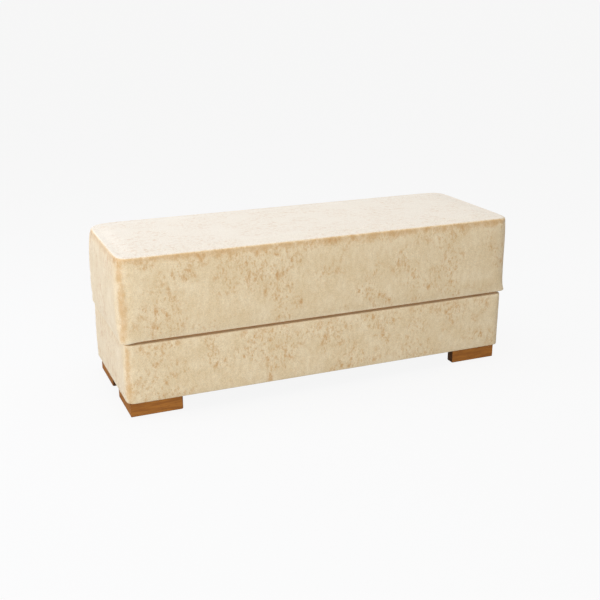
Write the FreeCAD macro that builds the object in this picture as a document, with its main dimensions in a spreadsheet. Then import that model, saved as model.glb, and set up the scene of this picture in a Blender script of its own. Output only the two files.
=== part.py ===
import FreeCAD, Part
import math
import os
import re
import Sketcher

# An upholstered storage bench: a padded box on eight foot boards, with a padded box lid that is
# hinged along the back and held open by two folding stays.
# +X is right, +Y is back, +Z is up. The origin is on the floor, under the middle of the bench.

# --------------------------------------------------------------------------- driving sizes (mm)

SIZES = {
    "base_length": 1200,
    "base_depth": 420,
    "seam_height": 222,
    "seam_gap": 8,
    "lid_top_height": 461.5,
    "lid_end_overhang": 9,
    "lid_front_overhang": 2,
    "base_corner_radius": 22,
    "lid_corner_radius": 31,
    "lid_top_radius": 8,
    "fold_radius": 3,
    "top_seam_drop": 17.5,
    "cover_thickness": 1.5,
    "base_foam_thickness": 12,
    "back_wadding_thickness": 4,
    "top_wadding_thickness": 6,
    "seat_foam_thickness": 54,
    "lining_thickness": 1,
    "lining_edge_drop": 2,
    "dust_cover_thickness": 0.8,
    "dust_cover_inset": 14,
    "panel_thickness": 18,
    "bottom_panel_thickness": 12,
    "seat_board_thickness": 15,
    "inner_panel_thickness": 3,
    "cross_rail_height": 40,
    "cross_rail_thickness": 20,
    "cross_rail_pitch": 285,
    "corner_block_leg": 30,
    "base_screw_low": 100,
    "base_screw_high": 180,
    "lid_screw_low": 265,
    "lid_screw_high": 350,
    "frame_screw_length": 45,
    "board_screw_near": 180,
    "board_screw_far": 500,
    "board_screw_back": 80,
    "board_screw_length": 35,
    "foot_height": 46,
    "foot_thickness": 30,
    "foot_long_board": 150,
    "foot_end_board": 152,
    "foot_end_inset": 10,
    "foot_side_inset": 17,
    "foot_edge_radius": 4,
    "foot_screw_near": 70,
    "foot_screw_far": 130,
    "foot_screw_end_inset": 4.3,
    "foot_screw_side_inset": 8,
    "foot_screw_length": 40,
    "rim_strip_width": 10,
    "rim_strip_inset": 1,
    "rim_strip_clearance": 0.2,
    "rim_strip_hinge_gap": 4,
    "hinge_pitch": 420,
    "hinge_width": 64,
    "knuckle_radius": 4,
    "knuckle_length": 20,
    "knuckle_clearance": 0.3,
    "hinge_standoff": 0.2,
    "leaf_thickness": 1.6,
    "leaf_depth": 21.9,
    "leaf_screw_pitch": 22,
    "leaf_screw_length": 22,
    "pin_radius": 1.6,
    "pin_clearance": 0.05,
    "pin_head_radius": 2.4,
    "pin_head_length": 1.2,
    "screw_radius": 2,
    "screw_head_radius": 3.6,
    "screw_clearance": 0.05,
    "stay_low_forward": 75,
    "stay_low_drop": 115,
    "stay_high_forward": 135.2,
    "stay_high_rise": 23.8,
    "stay_width": 20,
    "stay_thickness": 2.5,
    "stay_gap": 0.3,
    "bracket_size": 32,
    "bracket_corner_radius": 4,
    "bracket_thickness": 2,
    "bracket_screw_offset": 10,
    "bracket_screw_length": 18,
    "rivet_radius": 3,
    "rivet_head_radius": 6,
    "rivet_head_length": 1.5,
    "staple_width": 10,
    "staple_wire": 0.7,
    "staple_leg": 8,
    "base_staple_inset": 20,
    "base_staple_pitch": 100,
    "lid_staple_inset": 4,
    "lid_staple_pitch": 140,
    "lid_end_staple_pitch": 80,
}

# ------------------------------------------------------- planes, written in terms of the sizes

OVERALL_DEPTH = "(lid_front_overhang + base_depth + hinge_standoff + 2 * knuckle_radius)"
LID_FRONT = f"(-{OVERALL_DEPTH} / 2)"
BASE_FRONT = f"({LID_FRONT} + lid_front_overhang)"
BACK = f"({BASE_FRONT} + base_depth)"
BASE_END = "(base_length / 2)"
LID_END = "(base_length / 2 + lid_end_overhang)"

# Both boxes have the same footprint, so their panels are cut to the same lengths.
FRAME_END = "(base_length / 2 - cover_thickness - base_foam_thickness)"
FRAME_FRONT = f"({BASE_FRONT} + cover_thickness + base_foam_thickness)"
FRAME_BACK = f"({BACK} - cover_thickness - back_wadding_thickness)"
INNER_END = f"({FRAME_END} - panel_thickness)"
INNER_FRONT = f"({FRAME_FRONT} + panel_thickness)"
INNER_BACK = f"({FRAME_BACK} - panel_thickness)"

COVER_BOTTOM = "(foot_height + dust_cover_thickness)"
BOTTOM_PANEL_LOW = f"({COVER_BOTTOM} + cover_thickness)"
PANEL_LOW = f"({BOTTOM_PANEL_LOW} + bottom_panel_thickness)"
BASE_TOP = "(seam_height - seam_gap / 2)"
PANEL_HIGH = f"({BASE_TOP} - cover_thickness)"

LID_LOW = "(seam_height + seam_gap / 2)"
RAIL_LOW = f"({LID_LOW} + cover_thickness)"
LID_TOP = "lid_top_height"
BOARD_HIGH = f"({LID_TOP} - cover_thickness - top_wadding_thickness - seat_foam_thickness)"
RAIL_HIGH = f"({BOARD_HIGH} - seat_board_thickness)"
CEILING_HIGH = f"({RAIL_HIGH} - cross_rail_height)"
CEILING_LOW = f"({CEILING_HIGH} - inner_panel_thickness)"
TOP_SEAM = f"({LID_TOP} - top_seam_drop)"

HINGE_Y = f"({BACK} + hinge_standoff + knuckle_radius)"
HINGE_Z = "seam_height"

X_AXIS = FreeCAD.Vector(1, 0, 0)
Y_AXIS = FreeCAD.Vector(0, 1, 0)
Z_AXIS = FreeCAD.Vector(0, 0, 1)
QUARTER_TURN = math.pi / 2

# ------------------------------------------------------------------------- document and sheet

doc = FreeCAD.newDocument("StorageBench")
sheet = doc.addObject("Spreadsheet::Sheet", "Sizes")
for row, (alias, size) in enumerate(SIZES.items(), start=1):
    sheet.set(f"A{row}", alias)
    sheet.set(f"B{row}", str(size))
    sheet.setAlias(f"B{row}", alias)
doc.recompute()

nodes = []


def resolve(text):
    """Writes each alias in an expression as a reference to its cell."""
    return re.sub(r"[a-z]+(?:_[a-z]+)+", lambda word: "Sizes." + word.group(), text)


def evaluate(text):
    """The present value of an expression."""
    result = sheet.evalExpression(resolve(text))
    return float(getattr(result, "Value", result))


def bind(thing, name, text):
    """Ties a property or a constraint to cells of the sheet."""
    thing.setExpression(name, resolve(text))


def place(piece, x="0", y="0", z="0", axis=Z_AXIS, angle="0"):
    """Puts a piece at a point, turned about an axis, all tied to the sheet."""
    piece.Placement = FreeCAD.Placement(FreeCAD.Vector(), FreeCAD.Rotation(axis, evaluate(angle)))
    for direction, text in (("x", x), ("y", y), ("z", z)):
        bind(piece, f"Placement.Base.{direction}", text)
    if angle != "0":
        bind(piece, "Placement.Rotation.Angle", angle)
    return piece


def node(piece, label):
    """Names a finished sub-part and lists it for export."""
    piece.Label = label
    nodes.append(piece)
    return piece


def either_side(side, near, far):
    """The X planes between two distances from the middle, on the right (1) or the left (-1)."""
    return (near, far) if side > 0 else (f"-({far})", f"-({near})")


# ------------------------------------------------------------------------------- Part helpers

def box(name, x, y, z):
    """A board between pairs of planes, each pair given as (low, high)."""
    piece = doc.addObject("Part::Box", name)
    for side, (low, high) in zip(("Length", "Width", "Height"), (x, y, z)):
        bind(piece, side, f"{high} - ({low})")
    return place(piece, x[0], y[0], z[0])


def cylinder(name, radius, length, x="0", y="0", z="0", axis=Z_AXIS, angle="0"):
    """A round bar that starts at a point and runs along the turned +Z."""
    piece = doc.addObject("Part::Cylinder", name)
    bind(piece, "Radius", radius)
    bind(piece, "Height", length)
    return place(piece, x, y, z, axis, angle)


def cone(name, low_radius, high_radius, length, z):
    """A cone that stands on the Z axis."""
    piece = doc.addObject("Part::Cone", name)
    bind(piece, "Radius1", low_radius)
    bind(piece, "Radius2", high_radius)
    bind(piece, "Height", length)
    return place(piece, z=z)


def fuse(name, pieces):
    piece = doc.addObject("Part::MultiFuse", name)
    piece.Shapes = pieces
    return piece


def group(label, pieces):
    """Separate solids that share one node."""
    piece = doc.addObject("Part::Compound", label)
    piece.Links = pieces
    return node(piece, label)


# The way that a screw points, from its head to its tip, as a turn of the -Z direction.
POINTING = {
    "down": (X_AXIS, "0"),
    "up": (X_AXIS, "180"),
    "back": (X_AXIS, "90"),
    "front": (X_AXIS, "-90"),
    "right": (Y_AXIS, "-90"),
    "left": (Y_AXIS, "90"),
}


def flat_screw(x, y, z, way, length):
    """A countersunk wood screw whose flat head's face is centred on the point."""
    head_depth = "(screw_head_radius - screw_radius)"
    head = cone("screw_head", "screw_radius", "screw_head_radius", head_depth, f"-{head_depth}")
    shank = cylinder("screw_shank", "screw_radius", f"{length} - {head_depth}", z=f"-({length})")
    return place(fuse("flat_screw", [head, shank]), x, y, z, *POINTING[way])


def screw_hole(x, y, z, way):
    """The countersunk clearance hole that a flat screw needs in sheet metal."""
    depth = "(screw_head_radius - screw_radius)"
    slack = "screw_clearance"
    parts = [
        cone("sink", f"screw_radius + {slack}", f"screw_head_radius + {slack}", depth, f"-{depth}"),
        cylinder("through", f"screw_radius + {slack}", "2 * bracket_thickness", z="-2 * bracket_thickness"),
        cylinder("way_in", f"screw_head_radius + {slack}", "bracket_thickness"),
    ]
    return place(fuse("screw_hole", parts), x, y, z, *POINTING[way])


def cut(name, blank, tools):
    piece = doc.addObject("Part::Cut", name)
    piece.Base = blank
    piece.Tool = fuse("tools", tools)
    return piece


def staple(x, y, z, way, along_x):
    """A wire staple whose crown lies on the surface at the point."""
    half = "(staple_width / 2)"
    wire = ("-staple_wire / 2", "staple_wire / 2")
    crown = box("crown", (f"-{half}", half), wire, ("0", "staple_wire"))
    legs = [
        box("leg", (f"{low}", f"{low} + staple_wire"), wire, ("-staple_leg", "0"))
        for low in (f"-{half}", f"{half} - staple_wire")
    ]
    piece = fuse("staple", [crown, *legs])
    if along_x:
        return place(piece, x, y, z, *POINTING[way])
    place(piece, angle="90")
    turned = doc.addObject("Part::Compound", "turned_staple")
    turned.Links = [piece]
    return place(turned, x, y, z, *POINTING[way])


# ------------------------------------------------------------------------- PartDesign helpers

def new_body(label):
    return node(doc.addObject("PartDesign::Body", label), label)


def new_sketch(body, role="XY_Plane", offset="0"):
    """A sketch on one of the body's own origin planes, moved along that plane's normal."""
    sketch = body.newObject("Sketcher::SketchObject", "sketch")
    plane = next(part for part in body.Origin.OriginFeatures if part.Role == role)
    sketch.AttachmentSupport = [(plane, "")]
    sketch.MapMode = "FlatFace"
    bind(sketch, "AttachmentOffset.Base.z", offset)
    return sketch


def dimension(sketch, name, constraint, text):
    """Adds a dimension to a sketch and ties it to the sheet."""
    index = sketch.addConstraint(constraint)
    sketch.renameConstraint(index, name)
    bind(sketch, f"Constraints.{name}", text)


def draw_polygon(sketch, points):
    """A closed outline through points given as pairs of expressions."""
    spots = [FreeCAD.Vector(evaluate(x), evaluate(y), 0) for x, y in points]
    count = len(spots)
    first = len(sketch.Geometry)
    for number in range(count):
        ends = (spots[number], spots[(number + 1) % count])
        sketch.addGeometry(Part.LineSegment(*ends), False)
    for number in range(count):
        line, following = first + number, first + (number + 1) % count
        sketch.addConstraint(Sketcher.Constraint("Coincident", line, 2, following, 1))
        x, y = points[number]
        for kind, text, value in (("DistanceX", x, spots[number].x), ("DistanceY", y, spots[number].y)):
            mark = Sketcher.Constraint(kind, -1, 1, line, 1, value)
            dimension(sketch, f"{kind}_{line}", mark, text)


def draw_rectangle(sketch, x, y):
    draw_polygon(sketch, [(x[0], y[0]), (x[1], y[0]), (x[1], y[1]), (x[0], y[1])])


def draw_circle(sketch, x, y, radius):
    centre = FreeCAD.Vector(evaluate(x), evaluate(y), 0)
    circle = sketch.addGeometry(Part.Circle(centre, Z_AXIS, evaluate(radius)), False)
    dimension(sketch, f"radius_{circle}", Sketcher.Constraint("Radius", circle, evaluate(radius)), radius)
    for kind, text, value in (("DistanceX", x, centre.x), ("DistanceY", y, centre.y)):
        mark = Sketcher.Constraint(kind, -1, 1, circle, 3, value)
        dimension(sketch, f"{kind}_{circle}", mark, text)


def draw_rounded_rectangle(sketch, x, y, radius):
    """A rectangle with four equal round corners, made of tangent lines and arcs."""
    left, right, low, high = (evaluate(text) for text in (*x, *y))
    r = evaluate(radius)
    corners = [(right, low, -1, 1), (right, high, -1, -1), (left, high, 1, -1), (left, low, 1, 1)]
    centres = [FreeCAD.Vector(cx + sx * r, cy + sy * r, 0) for cx, cy, sx, sy in corners]
    outward = [FreeCAD.Vector(x * r, y * r, 0) for x, y in ((0, -1), (1, 0), (0, 1), (-1, 0))]
    lines, arcs = [], []
    for number in range(4):
        start, end = centres[number - 1] + outward[number], centres[number] + outward[number]
        lines.append(sketch.addGeometry(Part.LineSegment(start, end), False))
        circle = Part.Circle(centres[number], Z_AXIS, r)
        begin = (number - 1) * QUARTER_TURN
        arcs.append(sketch.addGeometry(Part.ArcOfCircle(circle, begin, begin + QUARTER_TURN), False))
    for number in range(4):
        following = lines[(number + 1) % 4]
        sketch.addConstraint(Sketcher.Constraint("Tangent", lines[number], 2, arcs[number], 1))
        sketch.addConstraint(Sketcher.Constraint("Tangent", arcs[number], 2, following, 1))
        straight = "Horizontal" if number % 2 == 0 else "Vertical"
        sketch.addConstraint(Sketcher.Constraint(straight, lines[number]))
    for arc in arcs[1:]:
        sketch.addConstraint(Sketcher.Constraint("Equal", arcs[0], arc))
    dimension(sketch, "radius", Sketcher.Constraint("Radius", arcs[0], r), radius)
    dimension(sketch, "low", Sketcher.Constraint("DistanceY", -1, 1, lines[0], 1, low), y[0])
    dimension(sketch, "right", Sketcher.Constraint("DistanceX", -1, 1, lines[1], 1, right), x[1])
    dimension(sketch, "high", Sketcher.Constraint("DistanceY", -1, 1, lines[2], 1, high), y[1])
    dimension(sketch, "left", Sketcher.Constraint("DistanceX", -1, 1, lines[3], 1, left), x[0])


def draw_slot(sketch, length, radius):
    """A straight bar with round ends, from the origin along the sketch's X axis."""
    r, far = evaluate(radius), evaluate(length)
    near_circle = Part.Circle(FreeCAD.Vector(), Z_AXIS, r)
    far_circle = Part.Circle(FreeCAD.Vector(far, 0, 0), Z_AXIS, r)
    near_arc = Part.ArcOfCircle(near_circle, QUARTER_TURN, 3 * QUARTER_TURN)
    low_line = Part.LineSegment(FreeCAD.Vector(0, -r, 0), FreeCAD.Vector(far, -r, 0))
    far_arc = Part.ArcOfCircle(far_circle, -QUARTER_TURN, QUARTER_TURN)
    high_line = Part.LineSegment(FreeCAD.Vector(far, r, 0), FreeCAD.Vector(0, r, 0))
    near_end = sketch.addGeometry(near_arc, False)
    low = sketch.addGeometry(low_line, False)
    far_end = sketch.addGeometry(far_arc, False)
    high = sketch.addGeometry(high_line, False)
    loop = [near_end, low, far_end, high]
    for number, piece in enumerate(loop):
        following = loop[(number + 1) % 4]
        sketch.addConstraint(Sketcher.Constraint("Tangent", piece, 2, following, 1))
    sketch.addConstraint(Sketcher.Constraint("Coincident", near_end, 3, -1, 1))
    sketch.addConstraint(Sketcher.Constraint("PointOnObject", far_end, 3, -1))
    dimension(sketch, "end_radius", Sketcher.Constraint("Radius", near_end, r), radius)
    dimension(sketch, "reach", Sketcher.Constraint("DistanceX", -1, 1, far_end, 3, far), length)


def pad(body, sketch, length):
    feature = body.newObject("PartDesign::Pad", "pad")
    feature.Profile = sketch
    bind(feature, "Length", length)
    doc.recompute()
    return feature


def pocket(body, sketch, length, upward=False):
    """Cuts from the sketch, downwards unless told otherwise, and checks that it did cut."""
    before = body.Shape.Volume
    feature = body.newObject("PartDesign::Pocket", "pocket")
    feature.Profile = sketch
    feature.Reversed = upward
    bind(feature, "Length", length)
    doc.recompute()
    if body.Shape.Volume >= before:
        raise RuntimeError(f"{body.Label}: a pocket cut nothing")
    return feature


def round_edges(body, radius, wanted):
    """Rounds the edges of a body for which wanted(edge) is true."""
    names = [f"Edge{i}" for i, edge in enumerate(body.Shape.Edges, start=1) if wanted(edge)]
    feature = body.newObject("PartDesign::Fillet", "fillet")
    feature.Base = (body.Group[-2], names)
    bind(feature, "Radius", radius)
    doc.recompute()
    return feature


def at_heights(body, *texts):
    """A test for edges that run all the way at one of some heights, on the outside of a body."""
    heights, outer = [evaluate(text) for text in texts], body.Shape.BoundBox

    def wanted(edge):
        bounds = edge.BoundBox
        level = any(
            abs(bounds.ZMin - height) < 0.01 and abs(bounds.ZMax - height) < 0.01
            for height in heights
        )
        reach = min(
            abs(bounds.XMin - outer.XMin), abs(bounds.XMax - outer.XMax),
            abs(bounds.YMin - outer.YMin), abs(bounds.YMax - outer.YMax),
        )
        return level and reach < 0.01

    return wanted


def shrunk(pair, by):
    """A pair of planes moved together by a distance."""
    return (f"{pair[0]} + ({by})", f"{pair[1]} - ({by})")


BASE_X, BASE_Y = (f"-{BASE_END}", BASE_END), (BASE_FRONT, BACK)
LID_X, LID_Y = (f"-{LID_END}", LID_END), (LID_FRONT, BACK)
FRAME_X, FRAME_Y = (f"-{FRAME_END}", FRAME_END), (FRAME_FRONT, FRAME_BACK)
INNER_X, INNER_Y = (f"-{INNER_END}", INNER_END), (INNER_FRONT, INNER_BACK)
ENDS = (("left", -1), ("right", 1))

# -------------------------------------------------------------------------- boxes of the frame


def panel_box(names, z):
    """Front, back, left and right boards; the ends fit between the front and the back."""
    front, back, left, right = names
    node(box(front, FRAME_X, (FRAME_FRONT, INNER_FRONT), z), front)
    node(box(back, FRAME_X, (INNER_BACK, FRAME_BACK), z), back)
    node(box(left, (f"-{FRAME_END}", f"-{INNER_END}"), INNER_Y, z), left)
    node(box(right, (INNER_END, FRAME_END), INNER_Y, z), right)


def corner_blocks(label, low, high):
    """Triangular glue blocks, one in each inner corner of a box."""
    corners = [
        (f"-{INNER_END}", INNER_FRONT, "0"),
        (INNER_END, INNER_FRONT, "90"),
        (INNER_END, INNER_BACK, "180"),
        (f"-{INNER_END}", INNER_BACK, "270"),
    ]
    blocks = []
    for x, y, angle in corners:
        block = doc.addObject("Part::Wedge", "corner_block")
        for name in ("Xmin", "Ymin", "Zmin", "X2min", "Z2min", "X2max"):
            setattr(block, name, 0)
        bind(block, "Xmax", "corner_block_leg")
        bind(block, "Ymax", "corner_block_leg")
        bind(block, "Zmax", f"{high} - ({low})")
        bind(block, "Z2max", f"{high} - ({low})")
        blocks.append(place(block, x, y, low, Z_AXIS, angle))
    group(label, blocks)


def frame_screws(label, heights):
    """Screws through the front and back boards into the edges of the end boards."""
    middle = f"({FRAME_END} - panel_thickness / 2)"
    screws = []
    for z in heights:
        for x in (f"-{middle}", middle):
            screws.append(flat_screw(x, FRAME_FRONT, z, "back", "frame_screw_length"))
            screws.append(flat_screw(x, FRAME_BACK, z, "front", "frame_screw_length"))
    group(label, screws)


def board_screws(label, z, way):
    """Screws through a flat board into the edges of the four boards that it lies on."""
    screws = []
    for y in (f"({FRAME_FRONT} + panel_thickness / 2)", f"({FRAME_BACK} - panel_thickness / 2)"):
        for x in ("-board_screw_far", "-board_screw_near", "board_screw_near", "board_screw_far"):
            screws.append(flat_screw(x, y, z, way, "board_screw_length"))
    for x in (f"-({FRAME_END} - panel_thickness / 2)", f"({FRAME_END} - panel_thickness / 2)"):
        screws.append(flat_screw(x, "board_screw_back", z, way, "board_screw_length"))
    group(label, screws)


panel_box(
    ("base_front_panel", "base_back_panel", "base_left_panel", "base_right_panel"),
    (PANEL_LOW, PANEL_HIGH),
)
node(box("base_bottom_panel", FRAME_X, FRAME_Y, (BOTTOM_PANEL_LOW, PANEL_LOW)), "base_bottom_panel")
corner_blocks("base_corner_blocks", PANEL_LOW, f"({PANEL_HIGH} - lining_edge_drop)")
frame_screws("base_frame_screws", ("base_screw_low", "base_screw_high"))
board_screws("bottom_panel_screws", BOTTOM_PANEL_LOW, "up")

panel_box(("lid_front_rail", "lid_back_rail", "lid_left_rail", "lid_right_rail"), (RAIL_LOW, RAIL_HIGH))
node(box("lid_seat_board", FRAME_X, FRAME_Y, (RAIL_HIGH, BOARD_HIGH)), "lid_seat_board")
corner_blocks("lid_corner_blocks", f"({RAIL_LOW} + lining_edge_drop)", CEILING_LOW)
frame_screws("lid_frame_screws", ("lid_screw_low", "lid_screw_high"))
board_screws("seat_board_screws", BOARD_HIGH, "down")

cross_rails = []
for step in (-1, 0, 1):
    middle = f"{step} * cross_rail_pitch"
    planes = (f"{middle} - cross_rail_thickness / 2", f"{middle} + cross_rail_thickness / 2")
    cross_rails.append(box("cross_rail", planes, INNER_Y, (CEILING_HIGH, RAIL_HIGH)))
group("lid_cross_rails", cross_rails)
node(box("lid_inner_panel", INNER_X, INNER_Y, (CEILING_LOW, CEILING_HIGH)), "lid_inner_panel")

# ---------------------------------------------------------------------------- padding and covers


def side_foam(label, x, y, radius, z):
    """Foam strips glued to the front and the ends, cut from a block with round corners."""
    block = doc.addObject("PartDesign::Body", "foam_block")
    outline = new_sketch(block, offset=z[0])
    draw_rounded_rectangle(outline, shrunk(x, "cover_thickness"), shrunk(y, "cover_thickness"), radius)
    pad(block, outline, f"{z[1]} - ({z[0]})")
    rooms = [box("front_room", x, (y[0], FRAME_FRONT), z)]
    for side in (-1, 1):
        rooms.append(box("end_room", either_side(side, FRAME_END, x[1]), (FRAME_FRONT, y[1]), z))
    strips = []
    for room in rooms:
        strip = doc.addObject("Part::Common", "foam_strip")
        strip.Base, strip.Tool = block, room
        strips.append(strip)
    group(label, strips)


def back_wadding(label, z):
    """A thin flat pad over the back, between the round corners of the cover."""
    flat = f"({BASE_END} - base_corner_radius)"
    node(box(label, (f"-{flat}", flat), (FRAME_BACK, f"({BACK} - cover_thickness)"), z), label)


def cushion_block(label, inset, radius, top_radius, z):
    """A block of the lid's outline, inset all round, with rounded top edges."""
    body = new_body(label)
    outline = new_sketch(body, offset=z[0])
    draw_rounded_rectangle(outline, shrunk(LID_X, inset), shrunk(LID_Y, inset), radius)
    pad(body, outline, f"{z[1]} - ({z[0]})")
    round_edges(body, top_radius, at_heights(body, z[1]))
    return body


def hollow_below(body, thickness):
    """Turns a block into a cap of even thickness, open at the bottom."""
    shape = body.Shape
    lowest = min(range(len(shape.Faces)), key=lambda i: shape.Faces[i].CenterOfMass.z)
    feature = body.newObject("PartDesign::Thickness", "thickness")
    feature.Base = (body.Group[-2], [f"Face{lowest + 1}"])
    feature.Reversed = True
    bind(feature, "Value", thickness)
    doc.recompute()
    if not 0 < body.Shape.Volume < shape.Volume:
        raise RuntimeError(f"{body.Label}: hollowing went the wrong way")


def base_cover():
    """The fabric skin of the base, turned in over the rim and under the bottom."""
    body = new_body("base_cover")
    outline = new_sketch(body, offset=COVER_BOTTOM)
    draw_rounded_rectangle(outline, BASE_X, BASE_Y, "base_corner_radius")
    pad(body, outline, f"{BASE_TOP} - {COVER_BOTTOM}")
    opening = new_sketch(body, offset=BASE_TOP)
    draw_rectangle(opening, INNER_X, INNER_Y)
    pocket(body, opening, f"{BASE_TOP} - {COVER_BOTTOM}")
    round_edges(body, "fold_radius", at_heights(body, BASE_TOP, COVER_BOTTOM))
    hollow = new_sketch(body, offset=PANEL_HIGH)
    draw_rounded_rectangle(
        hollow,
        shrunk(BASE_X, "cover_thickness"),
        shrunk(BASE_Y, "cover_thickness"),
        "base_corner_radius - cover_thickness",
    )
    pocket(body, hollow, f"{PANEL_HIGH} - {BOTTOM_PANEL_LOW}")


def lid_side_cover():
    """The fabric band round the lid, turned in under its lower edge."""
    body = new_body("lid_side_cover")
    outline = new_sketch(body, offset=LID_LOW)
    draw_rounded_rectangle(outline, LID_X, LID_Y, "lid_corner_radius")
    pad(body, outline, f"{TOP_SEAM} - {LID_LOW}")
    opening = new_sketch(body, offset=TOP_SEAM)
    draw_rectangle(opening, INNER_X, INNER_Y)
    pocket(body, opening, f"{TOP_SEAM} - {LID_LOW}")
    round_edges(body, "fold_radius", at_heights(body, LID_LOW))
    hollow = new_sketch(body, offset=TOP_SEAM)
    draw_rounded_rectangle(
        hollow,
        shrunk(LID_X, "cover_thickness"),
        shrunk(LID_Y, "cover_thickness"),
        "lid_corner_radius - cover_thickness",
    )
    pocket(body, hollow, f"{TOP_SEAM} - {RAIL_LOW}")


def lining(label, z, closed_end):
    """A thin open box that lines a frame, with its corners cut off by the glue blocks.

    closed_end is "low" for a lining with a floor and "high" for one with a ceiling."""
    def outline(inset, leg):
        (left, right), (front, back) = shrunk(INNER_X, inset), shrunk(INNER_Y, inset)
        return [
            (f"{left} + {leg}", front), (f"{right} - {leg}", front),
            (right, f"{front} + {leg}"), (right, f"{back} - {leg}"),
            (f"{right} - {leg}", back), (f"{left} + {leg}", back),
            (left, f"{back} - {leg}"), (left, f"{front} + {leg}"),
        ]

    body = new_body(label)
    outer = new_sketch(body, offset=z[0])
    draw_polygon(outer, outline("0", "corner_block_leg"))
    pad(body, outer, f"{z[1]} - ({z[0]})")
    inner = new_sketch(body, offset=z[1] if closed_end == "low" else z[0])
    inner_leg = "(corner_block_leg - (2 - sqrt(2)) * lining_thickness)"
    draw_polygon(inner, outline("lining_thickness", inner_leg))
    pocket(body, inner, f"{z[1]} - ({z[0]}) - lining_thickness", upward=closed_end == "high")


side_foam(
    "base_side_foam", BASE_X, BASE_Y, "base_corner_radius - cover_thickness",
    (BOTTOM_PANEL_LOW, PANEL_HIGH),
)
back_wadding("base_back_wadding", (BOTTOM_PANEL_LOW, PANEL_HIGH))
base_cover()
lining("base_lining", (PANEL_LOW, f"({PANEL_HIGH} - lining_edge_drop)"), "low")
node(
    box(
        "dust_cover",
        shrunk(BASE_X, "dust_cover_inset"),
        shrunk(BASE_Y, "dust_cover_inset"),
        ("foot_height", COVER_BOTTOM),
    ),
    "dust_cover",
)

side_foam(
    "lid_side_foam", LID_X, LID_Y, "lid_corner_radius - cover_thickness",
    (RAIL_LOW, BOARD_HIGH),
)
back_wadding("lid_back_wadding", (RAIL_LOW, BOARD_HIGH))
PADDED = "(cover_thickness + top_wadding_thickness)"
cushion_block(
    "lid_seat_foam", PADDED, f"lid_corner_radius - {PADDED}", f"lid_top_radius - {PADDED}",
    (BOARD_HIGH, f"({LID_TOP} - {PADDED})"),
)
hollow_below(
    cushion_block(
        "lid_top_wadding", "cover_thickness", "lid_corner_radius - cover_thickness",
        "lid_top_radius - cover_thickness", (BOARD_HIGH, f"({LID_TOP} - cover_thickness)"),
    ),
    "top_wadding_thickness",
)
hollow_below(
    cushion_block("lid_top_cover", "0", "lid_corner_radius", "lid_top_radius", (TOP_SEAM, LID_TOP)),
    "cover_thickness",
)
lid_side_cover()
lining("lid_lining", (f"({RAIL_LOW} + lining_edge_drop)", CEILING_LOW), "high")

# ------------------------------------------------------------------------------------------ feet


def foot_board(label, outer, far, inner_corner):
    """One of the two mitred boards of an L-shaped foot, rounded except on the top and the mitre.

    outer and inner_corner are the L's outer and inner corners, with the mitre between them; far
    are the board's two free corners, the outer one first."""
    body = new_body(label)
    sketch = new_sketch(body)
    draw_polygon(sketch, [outer, far[0], far[1], inner_corner])
    pad(body, sketch, "foot_height")
    sharp = [FreeCAD.Vector(evaluate(x), evaluate(y), 0) for x, y in (outer, inner_corner)]

    def wanted(edge):
        ends = [vertex.Point for vertex in edge.Vertexes]
        on_top = all(point.z > 1 for point in ends)
        on_mitre = all(
            min(FreeCAD.Vector(point.x, point.y, 0).distanceToPoint(spot) for spot in sharp) < 0.01
            for point in ends
        )
        return not on_top and not on_mitre

    round_edges(body, "foot_edge_radius", wanted)


def foot(name, x_sign, y_sign, outer_y):
    """A foot of two boards, one along the bench and one along its end."""
    outer_x = f"{x_sign} * ({BASE_END} - foot_end_inset)"
    inner_x = f"{outer_x} - {x_sign} * foot_thickness"
    inner_y = f"{outer_y} - {y_sign} * foot_thickness"
    far_x = f"{outer_x} - {x_sign} * foot_long_board"
    far_y = f"{outer_y} - {y_sign} * foot_end_board"
    outer, inner = (outer_x, outer_y), (inner_x, inner_y)
    long_end, short_end = [(far_x, outer_y), (far_x, inner_y)], [(outer_x, far_y), (inner_x, far_y)]
    foot_board(f"{name}_foot_long_board", outer, long_end, inner)
    foot_board(f"{name}_foot_end_board", outer, short_end, inner)


FRONT_FOOT_Y = f"({BASE_FRONT} + foot_side_inset)"
BACK_FOOT_Y = f"({BACK} - foot_side_inset)"
for end, x_sign in ENDS:
    foot(f"front_{end}", x_sign, -1, FRONT_FOOT_Y)
    foot(f"back_{end}", x_sign, 1, BACK_FOOT_Y)

foot_screws = []
for x_sign in (-1, 1):
    end_board_x = f"{x_sign} * ({BASE_END} - foot_end_inset - foot_thickness + foot_screw_end_inset)"
    for y_sign, outer_y in ((-1, FRONT_FOOT_Y), (1, BACK_FOOT_Y)):
        long_board_y = f"{outer_y} - {y_sign} * (foot_thickness - foot_screw_side_inset)"
        for distance in ("foot_screw_near", "foot_screw_far"):
            spot = f"{x_sign} * ({BASE_END} - foot_end_inset - {distance})"
            foot_screws.append(flat_screw(spot, long_board_y, PANEL_LOW, "down", "foot_screw_length"))
            spot = f"{outer_y} - {y_sign} * {distance}"
            foot_screws.append(flat_screw(end_board_x, spot, PANEL_LOW, "down", "foot_screw_length"))
group("foot_screws", foot_screws)

# ------------------------------------------------------------------- rim strips and the staples

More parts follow.
